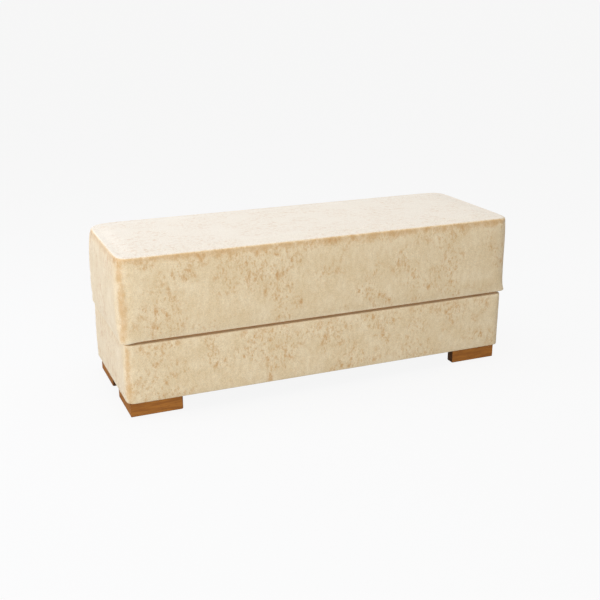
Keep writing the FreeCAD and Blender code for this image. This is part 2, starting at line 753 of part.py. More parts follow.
# Felt strips on the base's rim carry the closed lid and shut the gap; they stop at the hinges.
STRIP_END = f"({FRAME_END} - rim_strip_inset)"
STRIP_FRONT = f"({FRAME_FRONT} + rim_strip_inset)"
STRIP_BACK = f"({FRAME_BACK} - rim_strip_inset)"
HINGE_ROOM = "(hinge_width / 2 + rim_strip_hinge_gap)"
strip_z = (BASE_TOP, f"{LID_LOW} - rim_strip_clearance")
front_y = (STRIP_FRONT, f"{STRIP_FRONT} + rim_strip_width")
back_y = (f"{STRIP_BACK} - rim_strip_width", STRIP_BACK)
strips = [box("front_strip", (f"-{STRIP_END}", STRIP_END), front_y, strip_z)]
for side in (-1, 1):
    x = either_side(side, f"{STRIP_END} - rim_strip_width", STRIP_END)
    strips.append(box("end_strip", x, (front_y[1], back_y[0]), strip_z))
    outer_x = either_side(side, f"hinge_pitch + {HINGE_ROOM}", STRIP_END)
    strips.append(box("back_strip", outer_x, back_y, strip_z))
    inner_x = either_side(side, HINGE_ROOM, f"hinge_pitch - {HINGE_ROOM}")
    strips.append(box("back_strip", inner_x, back_y, strip_z))
group("rim_strips", strips)

staples = []
for step in range(-4, 5):
    for y in (f"{BASE_FRONT} + base_staple_inset", f"{BACK} - base_staple_inset"):
        staples.append(staple(f"{step} * base_staple_pitch", y, "foot_height", "up", along_x=True))
for sign in (-1, 1):
    x = f"{sign} * ({BASE_END} - base_staple_inset)"
    staples.append(staple(x, f"({BASE_FRONT} + {BACK}) / 2", "foot_height", "up", along_x=False))
group("base_staples", staples)

staples = []
for step in range(-4, 4):
    for y in (f"{INNER_FRONT} - lid_staple_inset", f"{INNER_BACK} + lid_staple_inset"):
        staples.append(staple(f"{step + 0.5} * lid_staple_pitch", y, LID_LOW, "up", along_x=True))
for step in range(-2, 2):
    y = f"{step + 0.5} * lid_end_staple_pitch"
    for sign in (-1, 1):
        x = f"{sign} * ({INNER_END} + lid_staple_inset)"
        staples.append(staple(x, y, LID_LOW, "up", along_x=False))
group("lid_staples", staples)

# ---------------------------------------------------------------------------------------- hinges

LEAF_FRONT = f"({BACK} - leaf_depth)"
LEAF_BACK = f"({HINGE_Y} - knuckle_radius - knuckle_clearance)"
LEAF_SCREW_Y = f"({INNER_BACK} + panel_thickness / 2)"
HALF_HINGE = "(hinge_width / 2)"
OUTER_KNUCKLES = (
    (f"-{HALF_HINGE}", f"-{HALF_HINGE} + knuckle_length"),
    (f"{HALF_HINGE} - knuckle_length", HALF_HINGE),
)
MIDDLE = "(hinge_width / 2 - knuckle_length - knuckle_clearance)"
MIDDLE_KNUCKLES = ((f"-{MIDDLE}", MIDDLE),)
LEAF_SCREWS = ("-leaf_screw_pitch", "0", "leaf_screw_pitch")


def hinge_leaf(hinge_x, knuckles, z, face, way):
    """A hinge leaf with its knuckles bored for the pin and its screw holes countersunk."""
    plate_x = (f"{hinge_x} - {HALF_HINGE}", f"{hinge_x} + {HALF_HINGE}")
    parts = [box("plate", plate_x, (LEAF_FRONT, LEAF_BACK), z)]
    for low, high in knuckles:
        span = (f"{hinge_x} + {low}", f"{hinge_x} + {high}")
        parts.append(box("tab", span, (LEAF_BACK, HINGE_Y), z))
        length = f"{high} - ({low})"
        parts.append(cylinder("barrel", "knuckle_radius", length, span[0], HINGE_Y, HINGE_Z, Y_AXIS, "90"))
    tools = [
        cylinder(
            "bore", "pin_radius + pin_clearance", "hinge_width + 2",
            f"{hinge_x} - {HALF_HINGE} - 1", HINGE_Y, HINGE_Z, Y_AXIS, "90",
        )
    ]
    tools += [screw_hole(f"{hinge_x} + {offset}", LEAF_SCREW_Y, face, way) for offset in LEAF_SCREWS]
    return cut("leaf", fuse("blank", parts), tools)


def hinge_pin(hinge_x):
    """A pin with a small head at each end, just outside the knuckles."""
    reach = f"({HALF_HINGE} + knuckle_clearance)"
    shank = cylinder(
        "pin_shank", "pin_radius", f"2 * {reach}", f"{hinge_x} - {reach}", HINGE_Y, HINGE_Z, Y_AXIS, "90",
    )
    heads = [
        cylinder("pin_head", "pin_head_radius", "pin_head_length", start, HINGE_Y, HINGE_Z, Y_AXIS, "90")
        for start in (f"{hinge_x} - {reach} - pin_head_length", f"{hinge_x} + {reach}")
    ]
    return fuse("pin", [shank, *heads])


HINGES = ("-hinge_pitch", "0", "hinge_pitch")
base_leaf_z = (BASE_TOP, f"{BASE_TOP} + leaf_thickness")
lid_leaf_z = (f"{LID_LOW} - leaf_thickness", LID_LOW)
for label, knuckles, leaf_z, face, way in (
    ("hinge_base_leaves", OUTER_KNUCKLES, base_leaf_z, base_leaf_z[1], "down"),
    ("hinge_lid_leaves", MIDDLE_KNUCKLES, lid_leaf_z, lid_leaf_z[0], "up"),
):
    group(label, [hinge_leaf(x, knuckles, leaf_z, face, way) for x in HINGES])
group("hinge_pins", [hinge_pin(x) for x in HINGES])
for label, face, way in (
    ("hinge_base_screws", base_leaf_z[1], "down"),
    ("hinge_lid_screws", lid_leaf_z[0], "up"),
):
    group(label, [
        flat_screw(f"{x} + {offset}", LEAF_SCREW_Y, face, way, "leaf_screw_length")
        for x in HINGES for offset in LEAF_SCREWS
    ])

# ------------------------------------------------------------------------------------- lid stays

# Seen from the end, the hinge axis, the low pivot, the elbow and the high pivot are the corners
# of a parallelogram at every angle of the lid, so the low arm always turns as much as the lid
# and the high arm keeps its direction.
LOW_Y = f"({HINGE_Y} - stay_low_forward)"
LOW_Z = f"({HINGE_Z} - stay_low_drop)"
HIGH_Y = f"({HINGE_Y} - stay_high_forward)"
HIGH_Z = f"({HINGE_Z} + stay_high_rise)"
ELBOW_Y = f"({LOW_Y} - stay_high_forward)"
ELBOW_Z = f"({LOW_Z} + stay_high_rise)"
LOW_ARM = "sqrt(stay_high_forward ^ 2 + stay_high_rise ^ 2)"
HIGH_ARM = "sqrt(stay_low_forward ^ 2 + stay_low_drop ^ 2)"
LOW_ARM_TURN = "180 deg - atan(stay_high_rise / stay_high_forward)"
HIGH_ARM_TURN = "180 deg + atan(stay_low_drop / stay_low_forward)"

LINING_FACE = f"({INNER_END} - lining_thickness)"
BRACKET_FACE = f"({LINING_FACE} - bracket_thickness)"
LOW_ARM_OUT = f"({BRACKET_FACE} - stay_gap)"
LOW_ARM_IN = f"({LOW_ARM_OUT} - stay_thickness)"
HIGH_ARM_OUT = f"({LOW_ARM_IN} - stay_gap)"
HIGH_ARM_IN = f"({HIGH_ARM_OUT} - stay_thickness)"
RIVET_GAP = "(stay_gap / 2)"


def bar_along_x(name, radius, side, near, far, y, z):
    """A round bar along X between two distances from the middle."""
    start = either_side(side, near, far)[0]
    return cylinder(name, radius, f"{far} - ({near})", start, y, z, Y_AXIS, "90")


def stay_arm(label, side, length, near, y, z, turn):
    """A flat bar with round ends and a hole at each pivot."""
    body = new_body(label)
    low = either_side(side, near, f"{near} + stay_thickness")[0]
    sketch = new_sketch(body, "YZ_Plane", low)
    draw_slot(sketch, length, "stay_width / 2")
    draw_circle(sketch, "0", "0", "rivet_radius + pin_clearance")
    draw_circle(sketch, length, "0", "rivet_radius + pin_clearance")
    pad(body, sketch, "stay_thickness")
    place(body, "0", y, z, X_AXIS, turn)


def bracket_screw_places(side, y, z):
    """Where a bracket's two screws meet its face, and the way that they point."""
    x, way = f"{side} * {BRACKET_FACE}", "right" if side > 0 else "left"
    offsets = [f"{sign} * bracket_screw_offset" for sign in (-1, 1)]
    return [(x, f"{y} + {offset}", f"{z} + {offset}", way) for offset in offsets]


def stay_bracket(side, y, z):
    """A plate with rounded corners and two countersunk holes, against the lining."""
    body = doc.addObject("PartDesign::Body", "plate")
    sketch = new_sketch(body, "YZ_Plane", either_side(side, BRACKET_FACE, LINING_FACE)[0])
    half = "bracket_size / 2"
    draw_rounded_rectangle(sketch, (f"-{half}", half), (f"-{half}", half), "bracket_corner_radius")
    pad(body, sketch, "bracket_thickness")
    place(body, "0", y, z)
    return cut("bracket", body, [screw_hole(*spot) for spot in bracket_screw_places(side, y, z)])


def bracket_screws(y, z):
    spots = [spot for side in (-1, 1) for spot in bracket_screw_places(side, y, z)]
    return [flat_screw(*spot, "bracket_screw_length") for spot in spots]


def low_rivet(side):
    """The base bracket's rivet: a shank through the low arm and a head inside it."""
    reach = f"({LOW_ARM_IN} - {RIVET_GAP})"
    shank = bar_along_x("shank", "rivet_radius", side, reach, BRACKET_FACE, LOW_Y, LOW_Z)
    head_end = f"{reach} - rivet_head_length"
    head = bar_along_x("head", "rivet_head_radius", side, head_end, reach, LOW_Y, LOW_Z)
    return fuse("low_rivet", [shank, head])


def high_rivet(side):
    """The lid bracket's rivet: a shoulder, a shank through the high arm, and a head."""
    shoulder_end = f"({HIGH_ARM_OUT} + {RIVET_GAP})"
    reach = f"({HIGH_ARM_IN} - {RIVET_GAP})"
    head_end = f"{reach} - rivet_head_length"
    wide, at = "rivet_head_radius", (HIGH_Y, HIGH_Z)
    shoulder = bar_along_x("shoulder", wide, side, shoulder_end, BRACKET_FACE, *at)
    shank = bar_along_x("shank", "rivet_radius", side, reach, shoulder_end, *at)
    head = bar_along_x("head", wide, side, head_end, reach, *at)
    return fuse("high_rivet", [shoulder, shank, head])


def elbow_rivet(side, label):
    """The rivet through both arms, with a head on each side."""
    near = f"({HIGH_ARM_IN} - {RIVET_GAP})"
    far = f"({LOW_ARM_OUT} + {RIVET_GAP})"
    shank = bar_along_x("shank", "rivet_radius", side, near, far, ELBOW_Y, ELBOW_Z)
    ends = ((f"{near} - rivet_head_length", near), (far, f"{far} + rivet_head_length"))
    heads = [bar_along_x("head", "rivet_head_radius", side, *end, ELBOW_Y, ELBOW_Z) for end in ends]
    node(fuse(label, [shank, *heads]), label)


sides = [side for _, side in ENDS]
for end, side in ENDS:
    stay_arm(f"{end}_stay_low_arm", side, LOW_ARM, LOW_ARM_IN, LOW_Y, LOW_Z, LOW_ARM_TURN)
    stay_arm(f"{end}_stay_high_arm", side, HIGH_ARM, HIGH_ARM_IN, HIGH_Y, HIGH_Z, HIGH_ARM_TURN)
    elbow_rivet(side, f"{end}_stay_elbow_rivet")
group("stay_base_brackets", [stay_bracket(side, LOW_Y, LOW_Z) for side in sides])
group("stay_lid_brackets", [stay_bracket(side, HIGH_Y, HIGH_Z) for side in sides])
group("stay_base_rivets", [low_rivet(side) for side in sides])
group("stay_lid_rivets", [high_rivet(side) for side in sides])
group("stay_base_screws", bracket_screws(LOW_Y, LOW_Z))
group("stay_lid_screws", bracket_screws(HIGH_Y, HIGH_Z))

# ----------------------------------------------------------------------------- checks and export

doc.recompute()
for thing in doc.Objects:
    if {"Invalid", "Error"} & set(thing.State):
        raise RuntimeError(f"{thing.Label} is {thing.State}")
for piece in nodes:
    if piece.Shape.isNull() or not piece.Shape.isValid():
        raise RuntimeError(f"{piece.Label} has no valid shape")

os.makedirs("parts", exist_ok=True)
for piece in nodes:
    piece.Shape.exportStep(f"parts/{piece.Label}.step")
print(len(nodes), "nodes written")
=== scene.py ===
"""The looks of the storage bench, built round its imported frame.

Metres, with +X to the right, +Y to the back and +Z up. Soft pieces take the place of their plain
CAD solids, and every other CAD node keeps its shape and gets a procedural material.
"""

import math

import bpy
import numpy as np
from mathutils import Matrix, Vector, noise


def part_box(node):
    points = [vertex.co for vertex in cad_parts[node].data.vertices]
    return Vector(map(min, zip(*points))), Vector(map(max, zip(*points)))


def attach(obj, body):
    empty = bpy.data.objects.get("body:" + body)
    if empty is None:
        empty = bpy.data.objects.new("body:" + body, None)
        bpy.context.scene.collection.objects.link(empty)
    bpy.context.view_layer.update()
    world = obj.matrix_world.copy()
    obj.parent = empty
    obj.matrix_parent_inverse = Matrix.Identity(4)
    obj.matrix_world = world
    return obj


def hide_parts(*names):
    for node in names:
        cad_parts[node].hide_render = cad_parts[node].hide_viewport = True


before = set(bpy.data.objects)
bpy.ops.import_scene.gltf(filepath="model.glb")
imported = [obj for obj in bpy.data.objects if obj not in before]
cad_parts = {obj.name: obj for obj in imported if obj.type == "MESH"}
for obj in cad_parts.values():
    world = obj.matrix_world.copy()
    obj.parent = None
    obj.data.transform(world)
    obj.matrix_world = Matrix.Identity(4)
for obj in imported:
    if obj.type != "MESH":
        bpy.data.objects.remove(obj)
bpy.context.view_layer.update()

# ------------------------------------------------------------------------------ sizes (metres)

COVER = 0.0015  # thickness of the velvet with its backing
FOLD = 0.003  # radius where a cover turns in under an edge
RIM_FOLD = 0.005  # the softer fold over the base's rim
FLANGE_CORNER = 0.003  # corner radius of the opening inside a turned-in cover
BASE_CORNER = 0.022
LID_CORNER = 0.031
TOP_EDGE = 0.008  # radius of the cushion's top edge
CUT_CORNER = 0.030  # legs of the glue blocks that cut off a lining's corners
WADDING = 0.006
LINING = 0.0008  # thickness of the lining cloth
LINING_GAP = 0.0005  # from the lining to the frame
LINING_BEND = 0.004
TOP_FOAM_INSET = COVER + WADDING
LOOSE_FIT = 0.0003  # between the wadding and the foam under it

ALONG_X, ALONG_Y, ROUND = 112, 36, 10  # quads along each straight run and round each corner

X, Y, Z = 0, 1, 2


def outline(node):
    """A node's footprint: left, right, front, back."""
    low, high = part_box(node)
    return np.array([low.x, high.x, low.y, high.y])


def heights(*nodes):
    """The lowest and highest Z of some nodes."""
    boxes = [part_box(node) for node in nodes]
    return min(low.z for low, _ in boxes), max(high.z for _, high in boxes)


def shrunk(plan, inset):
    """A smaller footprint, by the same inset on every side."""
    return plan + np.array([inset, -inset, inset, -inset])


LID = outline("lid_side_cover")
BASE = outline("base_cover")
INNER = outline("base_lining")
LID_LOW, LID_TOP = heights("lid_side_cover", "lid_top_cover")
BASE_LOW, BASE_TOP = heights("base_cover")
TOP_SEAM = heights("lid_top_cover")[0]
BOARD_TOP = heights("lid_seat_board")[1]
FRAME = outline("base_bottom_panel")

# ---------------------------------------------------------------------------------- mesh tools


def ring(plan, corner, z, cut=False):
    """Points round a rectangle with round (or cut) corners, anticlockwise from the front left."""
    left, right, front, back = plan
    centres = np.array([
        (right - corner, front + corner), (right - corner, back - corner),
        (left + corner, back - corner), (left + corner, front + corner),
    ])

    def on_corner(index, turn):
        angle = (index - 1 + turn) * math.pi / 2
        return centres[index] + corner * np.array([math.cos(angle), math.sin(angle)])

    points = []
    for index, steps in enumerate((ALONG_X, ALONG_Y, ALONG_X, ALONG_Y)):
        start, end = on_corner(index - 1, 1), on_corner(index, 0)
        points += [start + (end - start) * k / steps for k in range(steps)]
        if cut:
            far = on_corner(index, 1)
            points += [end + (far - end) * k / ROUND for k in range(ROUND)]
        else:
            points += [on_corner(index, k / ROUND) for k in range(ROUND)]
    return np.column_stack([np.array(points), np.full(len(points), z)])


def between(first, last, steps):
    """Evenly spaced rings from one ring to another, with both of them."""
    return [first + (last - first) * k / steps for k in range(steps + 1)]


def rounded_edge(plan, corner, z_wall, rise, steps, cut=False):
    """Rings over a quarter round at a wall's end: rise is its radius, negative if it turns down."""
    rings = []
    for step in range(1, steps + 1):
        angle = math.pi / 2 * step / steps
        inset = abs(rise) * (1 - math.cos(angle))
        radius = corner if cut else corner - inset
        rings.append(ring(shrunk(plan, inset), radius, z_wall + rise * math.sin(angle), cut))
    return rings


def patch(loop):
    """A grid of points that fills a ring, with its corners half way round the ring's corners."""
    loop = np.roll(loop, ROUND // 2, axis=0)
    wide, deep = ALONG_X + ROUND, ALONG_Y + ROUND
    front = loop[: wide + 1][:, None]
    right = loop[wide : wide + deep + 1][None]
    back = loop[wide + deep : 2 * wide + deep + 1][::-1][:, None]
    left = np.concatenate([loop[2 * wide + deep :], loop[:1]])[::-1][None]
    u = np.linspace(0, 1, wide + 1)[:, None, None]
    v = np.linspace(0, 1, deep + 1)[None, :, None]
    front_line = (1 - u) * front[0] + u * front[-1]
    back_line = (1 - u) * back[0] + u * back[-1]
    corners = (1 - v) * front_line + v * back_line
    return (1 - v) * front + v * back + (1 - u) * left + u * right - corners


def patch_border(count, wide, deep):
    """Where each point of a ring lies in its patch, as a list of (i, j)."""
    border = [(i, 0) for i in range(wide)] + [(wide, j) for j in range(deep)]
    border += [(i, deep) for i in range(wide, 0, -1)] + [(0, j) for j in range(deep, 0, -1)]
    return {cell: (k - ROUND // 2) % count for k, cell in enumerate(border)}


def skin(rings, closed=False):
    """Points and quads of a surface through rings; a closed one has its last ring filled."""
    count = len(rings[0])
    points = list(np.concatenate(rings))
    faces = []
    for row in range(len(rings) - 1):
        for k in range(count):
            a, b = row * count + k, row * count + (k + 1) % count
            faces.append((a, b, b + count, a + count))
    if closed:
        grid = patch(rings[-1])
        wide, deep = grid.shape[0] - 1, grid.shape[1] - 1
        border = patch_border(count, wide, deep)
        index = {}
        for i in range(wide + 1):
            for j in range(deep + 1):
                if (i, j) in border:
                    index[i, j] = (len(rings) - 1) * count + border[i, j]
                else:
                    index[i, j] = len(points)
                    points.append(grid[i, j])
        for i in range(wide):
            for j in range(deep):
                faces.append((index[i, j], index[i + 1, j], index[i + 1, j + 1], index[i, j + 1]))
    return np.array(points), faces


def new_piece(name, points, faces):
    """A smooth-shaded object made of points and faces."""
    mesh = bpy.data.meshes.new(name)
    mesh.from_pydata(points.tolist(), [], faces)
    mesh.polygons.foreach_set("use_smooth", [True] * len(mesh.polygons))
    piece = bpy.data.objects.new(name, mesh)
    bpy.context.scene.collection.objects.link(piece)
    return piece


def points_of(piece):
    points = np.empty(len(piece.data.vertices) * 3)
    piece.data.vertices.foreach_get("co", points)
    return points.reshape(-1, 3)


def move_points(piece, points):
    piece.data.vertices.foreach_set("co", points.ravel())
    piece.data.update()


def directions_of(piece):
    """Unit normals at the points of a piece."""
    normals = np.empty(len(piece.data.vertices) * 3)
    piece.data.vertex_normals.foreach_get("vector", normals)
    return normals.reshape(-1, 3)


def mark(piece, name, values):
    """Keeps a number from 0 to 1 at each point, for the piece's material."""
    attribute = piece.data.attributes.new(name, "FLOAT", "POINT")
    attribute.data.foreach_set("value", np.clip(values, 0, 1).astype(np.float32))


def apply_modifiers(piece):
    graph = bpy.context.evaluated_depsgraph_get()
    mesh = bpy.data.meshes.new_from_object(
        piece.evaluated_get(graph), preserve_all_data_layers=True, depsgraph=graph
    )
    piece.modifiers.clear()
    piece.data = mesh


def thicken(piece, thickness, offset=-1):
    """Turns a surface into cloth of even thickness: offset -1 is behind it, 0 to both sides."""
    solid = piece.modifiers.new("thickness", "SOLIDIFY")
    solid.thickness = thickness
    solid.offset = offset
    apply_modifiers(piece)


def weld(piece):
    """Joins points that lie on each other."""
    joint = piece.modifiers.new("weld", "WELD")
    joint.merge_threshold = 1e-6
    apply_modifiers(piece)


def side_gaps(points, plan):
    """How far each point is in from the nearer end, and from the nearer of front and back."""
    x, y, _ = points.T
    middle = (plan[2] + plan[3]) / 2
    return plan[1] - np.abs(x), (plan[3] - plan[2]) / 2 - np.abs(y - middle)


def soft_noise(points, size, seed):
    """Smooth noise from about -1 to 1 with features of the given size, one value for each point."""
    shift = np.array([seed * 7.31, seed * 3.17, seed * 5.53])
    return np.array([noise.noise(point) for point in points / size + shift])


def fade(values, low, high):
    """0 below low, 1 above high and smooth between them; high may be the smaller one."""
    t = np.clip((values - low) / (high - low), 0, 1)
    return t * t * (3 - 2 * t)


# ------------------------------------------------------------------------------ shape of the lid

# How far the foam has given way at the top of each corner of the lid.
CORNER_GIVE = {(-1, 1): 0.014, (1, 1): 0.006, (1, -1): 0.003, (-1, -1): 0.004}
CORNER_REACH = 0.045
CORNER_DEPTH = 0.022
GIVE_DEEP, GIVE_DOWN = 0.6, 0.15  # the give along Y and down Z, as shares of the give along X
HELD_BY_FRAME = 0.2  # share of the give along Y that is left beside the frame
BACK_LEAN = 0.003  # the left end leans in towards the back
LIP_FLARE = 0.005  # the right end's lower lip stands out
LIP_REACH = 0.022
LIP_DROOP = 0.0048  # the lower lip hangs down at the front left corner
DROOP_REACH = 0.034
DROOP_CLEARANCE = 0.005  # the drooping part is this far outside the base


def settle(points):
    """Moves points of the lid's soft parts to where use has pressed the foam."""
    moved = points.copy()
    x, y, z = points.T
    outside = np.clip((np.abs(x) - FRAME[1]) / (LID[1] - FRAME[1]), 0, 1)
    free = np.where(z > BOARD_TOP, 1, outside)
    depth = np.exp(-np.clip(LID_TOP - TOP_EDGE / 3 - z, 0, None) / CORNER_DEPTH)
    for (side_x, side_y), give in CORNER_GIVE.items():
        gap_x = LID[1] - side_x * x
        gap_y = (LID[3] if side_y > 0 else -LID[2]) - side_y * y
        near = np.exp(-(np.hypot(gap_x, gap_y) / CORNER_REACH) ** 2)
        moved[:, X] -= side_x * give * near * depth * free
        held = np.where(z > BOARD_TOP, 1, HELD_BY_FRAME)
        moved[:, Y] -= side_y * GIVE_DEEP * give * near * depth * held
        moved[:, Z] -= GIVE_DOWN * give * near * fade(z, BOARD_TOP, LID_TOP)
    lean = fade(-x, FRAME[1], LID[1]) * fade(y, LID[2], LID[3])
    moved[:, X] += BACK_LEAN * lean * free
    return moved


def shape_lip(points):
    """The lower lip stands out a little at the right end, and droops at the front left corner."""
    x, y, z = points.T
    low = np.exp(-(z - LID_LOW) / LIP_REACH)
    near = np.exp(-(np.hypot(x - LID[0], y - LID[2]) / DROOP_REACH) ** 2)
    clear_of_frame = np.maximum(
        fade(x, FRAME[0], BASE[0] + DROOP_CLEARANCE), fade(y, FRAME[2], BASE[2] + DROOP_CLEARANCE)
    )
    moved = points.copy()
    moved[:, X] += LIP_FLARE * fade(x, FRAME[1], LID[1]) * low
    moved[:, Z] -= LIP_DROOP * near * clear_of_frame * low
    return moved


# ------------------------------------------------------------------------------ padded covers


def turned_in(plan, corner, z_flange, fold, opening):
    """Rings of a cover's edge, from the opening outwards along the flange and round the fold.

    The fold is the radius: above the flange if it is positive, below the flange if it is negative.
    """
    z_wall = z_flange + fold
    around = rounded_edge(plan, corner, z_wall, -fold, 5)
    flange = between(ring(opening, FLANGE_CORNER, z_flange), around[-1], 8)
    return flange + around[-2::-1] + [ring(plan, corner, z_wall)]


FRAMES = 20
LID_PRESSURE, LID_BULGE = 3, 0.004  # the foam's pressure, and how far a point may move
BASE_PRESSURE, BASE_BULGE = 2, 0.002


def simulate(piece, pinned, pressure, cap):
    """Lets the cover bulge under the foam's pressure, with no point moving further than cap."""
    rest = points_of(piece)
    group = piece.vertex_groups.new(name="pinned")
    for weight in np.unique(np.round(pinned, 1)):
        if weight > 0:
            members = np.flatnonzero(np.round(pinned, 1) == weight).tolist()
            group.add(members, float(weight), "REPLACE")
    cloth = piece.modifiers.new("cloth", "CLOTH")
    settings = cloth.settings
    settings.quality = 5
    settings.mass = 0.3
    settings.tension_stiffness = 30
    settings.compression_stiffness = 30
    settings.shear_stiffness = 15
    settings.bending_stiffness = 2
    settings.use_pressure = True
    settings.uniform_pressure_force = pressure
    settings.shrink_min = -0.004
    settings.vertex_group_mass = "pinned"
    settings.effector_weights.gravity = 0
    cloth.collision_settings.use_collision = False
    cloth.point_cache.frame_start = 1
    cloth.point_cache.frame_end = FRAMES
    scene = bpy.context.scene
    for number in range(1, FRAMES + 1):
        scene.frame_set(number)
    graph = bpy.context.evaluated_depsgraph_get()
    result = piece.evaluated_get(graph).to_mesh()
    moved = np.empty(len(result.vertices) * 3)
    result.vertices.foreach_get("co", moved)
    piece.evaluated_get(graph).to_mesh_clear()
    piece.modifiers.remove(cloth)
    piece.vertex_groups.remove(group)
    scene.frame_set(1)
    outward = directions_of(piece)
    shift = moved.reshape(-1, 3) - rest
    sunk = np.minimum((shift * outward).sum(axis=1), 0)
    shift -= sunk[:, None] * outward  # the padding behind the cover holds it out
    length = np.linalg.norm(shift, axis=1)
    limit = np.tanh(length / cap) * cap / np.maximum(length, 1e-9)
    move_points(piece, rest + shift * limit[:, None])


SEAM_DEPTH = 0.0004
SEAM_WIDTH = 0.0012
SEAM_ROWS = 0.004  # the rows of points are closer together from here below the seam
LIP_TIGHTER = 0.009  # the lid's corners are sharper at the lip, where the cloth is folded
LIP_TIGHT_REACH = 0.018
PINNED_REACH = 0.012  # from a fold to where the cover is free to bulge
EDGE_PINNED_REACH = 0.006
TOP_PINNED_REACH = 0.05


def lid_upholstery():
    """The lid's cover: a top panel sewn to a band that is turned in under the lower edge."""
    wall_low = LID_LOW + FOLD
    arc_low = LID_TOP - TOP_EDGE

    def corner_at(z):
        return LID_CORNER - LIP_TIGHTER * math.exp(-(z - LID_LOW) / LIP_TIGHT_REACH)

    rings = turned_in(LID, corner_at(LID_LOW), LID_LOW, FOLD, INNER)
    levels = list(np.linspace(wall_low, TOP_SEAM - SEAM_ROWS, 25)[1:])
    levels += list(np.linspace(TOP_SEAM - SEAM_ROWS, TOP_SEAM + SEAM_WIDTH, 9)[1:])
    for z in levels:
        inset = SEAM_DEPTH * math.exp(-((z - TOP_SEAM) / SEAM_WIDTH) ** 2)
        rings.append(ring(shrunk(LID, inset), corner_at(z) - inset, z))
    rings.append(ring(LID, LID_CORNER, arc_low))
    rings += rounded_edge(LID, LID_CORNER, arc_low, TOP_EDGE, 8)
    points, faces = skin(rings, closed=True)
    rest = points.copy()
    piece = new_piece("lid_upholstery", shape_lip(settle(points)), faces)

    z = rest[:, Z]
    from_edge = np.minimum(*side_gaps(rest, LID))
    held = np.maximum(
        fade(z, LID_LOW + PINNED_REACH, LID_LOW + FOLD),
        fade(z, arc_low - EDGE_PINNED_REACH, arc_low),
    )
    held *= np.where(z > LID_TOP - 1e-6, fade(from_edge, TOP_PINNED_REACH, TOP_EDGE), 1)
    simulate(piece, held, LID_PRESSURE, LID_BULGE)
    wrinkle_corners(piece, rest, LID, LID_LOW, LID_TOP)
    mark_wear_and_painted_light(piece, rest, LID, LID_CORNER, LID_LOW, LID_TOP)
    # The top face gets a painted sheen: a paler, whiter colour.
    mark(piece, "top", fade(z, arc_low + 0.7 * TOP_EDGE, arc_low + 0.98 * TOP_EDGE))
    thicken(piece, COVER)
    return piece


def base_upholstery():
    """The base's cover: a band turned in over the rim and under the bottom."""
    lower = turned_in(BASE, BASE_CORNER, BASE_LOW, FOLD, INNER)
    upper = turned_in(BASE, BASE_CORNER, BASE_TOP, -RIM_FOLD, INNER)[::-1]
    levels = np.linspace(BASE_LOW + FOLD, BASE_TOP - RIM_FOLD, 20)[1:-1]
    rings = lower + [ring(BASE, BASE_CORNER, z) for z in levels] + upper
    points, faces = skin(rings)
    rest = points.copy()
    piece = new_piece("base_upholstery", points, faces)
    z = rest[:, Z]
    held = np.maximum(
        fade(z, BASE_LOW + PINNED_REACH, BASE_LOW + FOLD),
        fade(z, BASE_TOP - PINNED_REACH, BASE_TOP - RIM_FOLD),
    )
    simulate(piece, held, BASE_PRESSURE, BASE_BULGE)
    wrinkle_corners(piece, rest, BASE, BASE_LOW, BASE_TOP)
    mark_wear_and_painted_light(piece, rest, BASE, BASE_CORNER, BASE_LOW, BASE_TOP)
    # The base has no painted top sheen.
    mark(piece, "top", np.zeros(len(rest)))
    thicken(piece, COVER)
    return piece


PLEAT_HEIGHT, PLEAT_SPACING, PLEAT_REACH = 0.0006, 0.0045, 0.022
PLEATS_FROM_CORNER = 0.012
RIPPLE_HEIGHT, RIPPLE_SIZE = 0.0006, 0.09
GRAIN_HEIGHT, GRAIN_SIZE = 0.00025, 0.022
FLAT_AT_FOLD = (0.001, 0.006)  # up from the low edge: where relief starts, and where it is full
FLAT_AT_EDGE = (-0.001, -0.02)  # the same, down from the high edge


def wrinkle_corners(piece, rest, plan, low, high):
    """Small pleats that rise from the fold at the lower corners, and a faint overall ripple."""
    gap_x, gap_y = side_gaps(rest, plan)
    z = rest[:, Z]
    wall = fade(z - low, *FLAT_AT_FOLD) * fade(z - high, *FLAT_AT_EDGE)
    near = np.exp(-((np.hypot(gap_x, gap_y) - PLEATS_FROM_CORNER) / PLEAT_REACH) ** 2)
    across = (gap_x - gap_y) / PLEAT_SPACING
    pleats = PLEAT_HEIGHT * np.cos(across) * near * np.exp(-(z - low) / PLEAT_REACH) * wall
    ripple = RIPPLE_HEIGHT * soft_noise(rest * (1, 1, 0.6), RIPPLE_SIZE, seed=3) * wall
    grain = GRAIN_HEIGHT * soft_noise(rest * (1, 1, 0.5), GRAIN_SIZE, seed=5) * wall
    relief = (pleats + ripple + grain)[:, None]
    move_points(piece, points_of(piece) + directions_of(piece) * relief)


WORN_CORNER, WORN_TOP = 0.9, 0.75  # how golden the pile is on the corners, and under the top edge
OTHER_CORNERS = 0.45  # wear of the corners other than the front left one, as a share of it
TOP_WEAR_BELOW, TOP_WEAR_HEIGHT = 0.006, 0.020
LIP_HIGHLIGHT_HEIGHT = 0.004  # of the painted highlight on the folds beside the groove
BASE_LIP_HIGHLIGHT = 0.6  # how strong the painted highlight on the base's fold is, as a share of the lid's
UPPER_REACH = 0.06  # how far down from the top the rubbed marks are denser
GROOVE_SHADE_AND_SOIL_IN = (0.0005, 0.004)  # in from the wall: where the painted shade and soiling on the turned-in cloth starts, and where it is full
GROOVE_SHADE_AND_SOIL_UP = (0.002, 0.0002)  # the same, towards the height of the flange


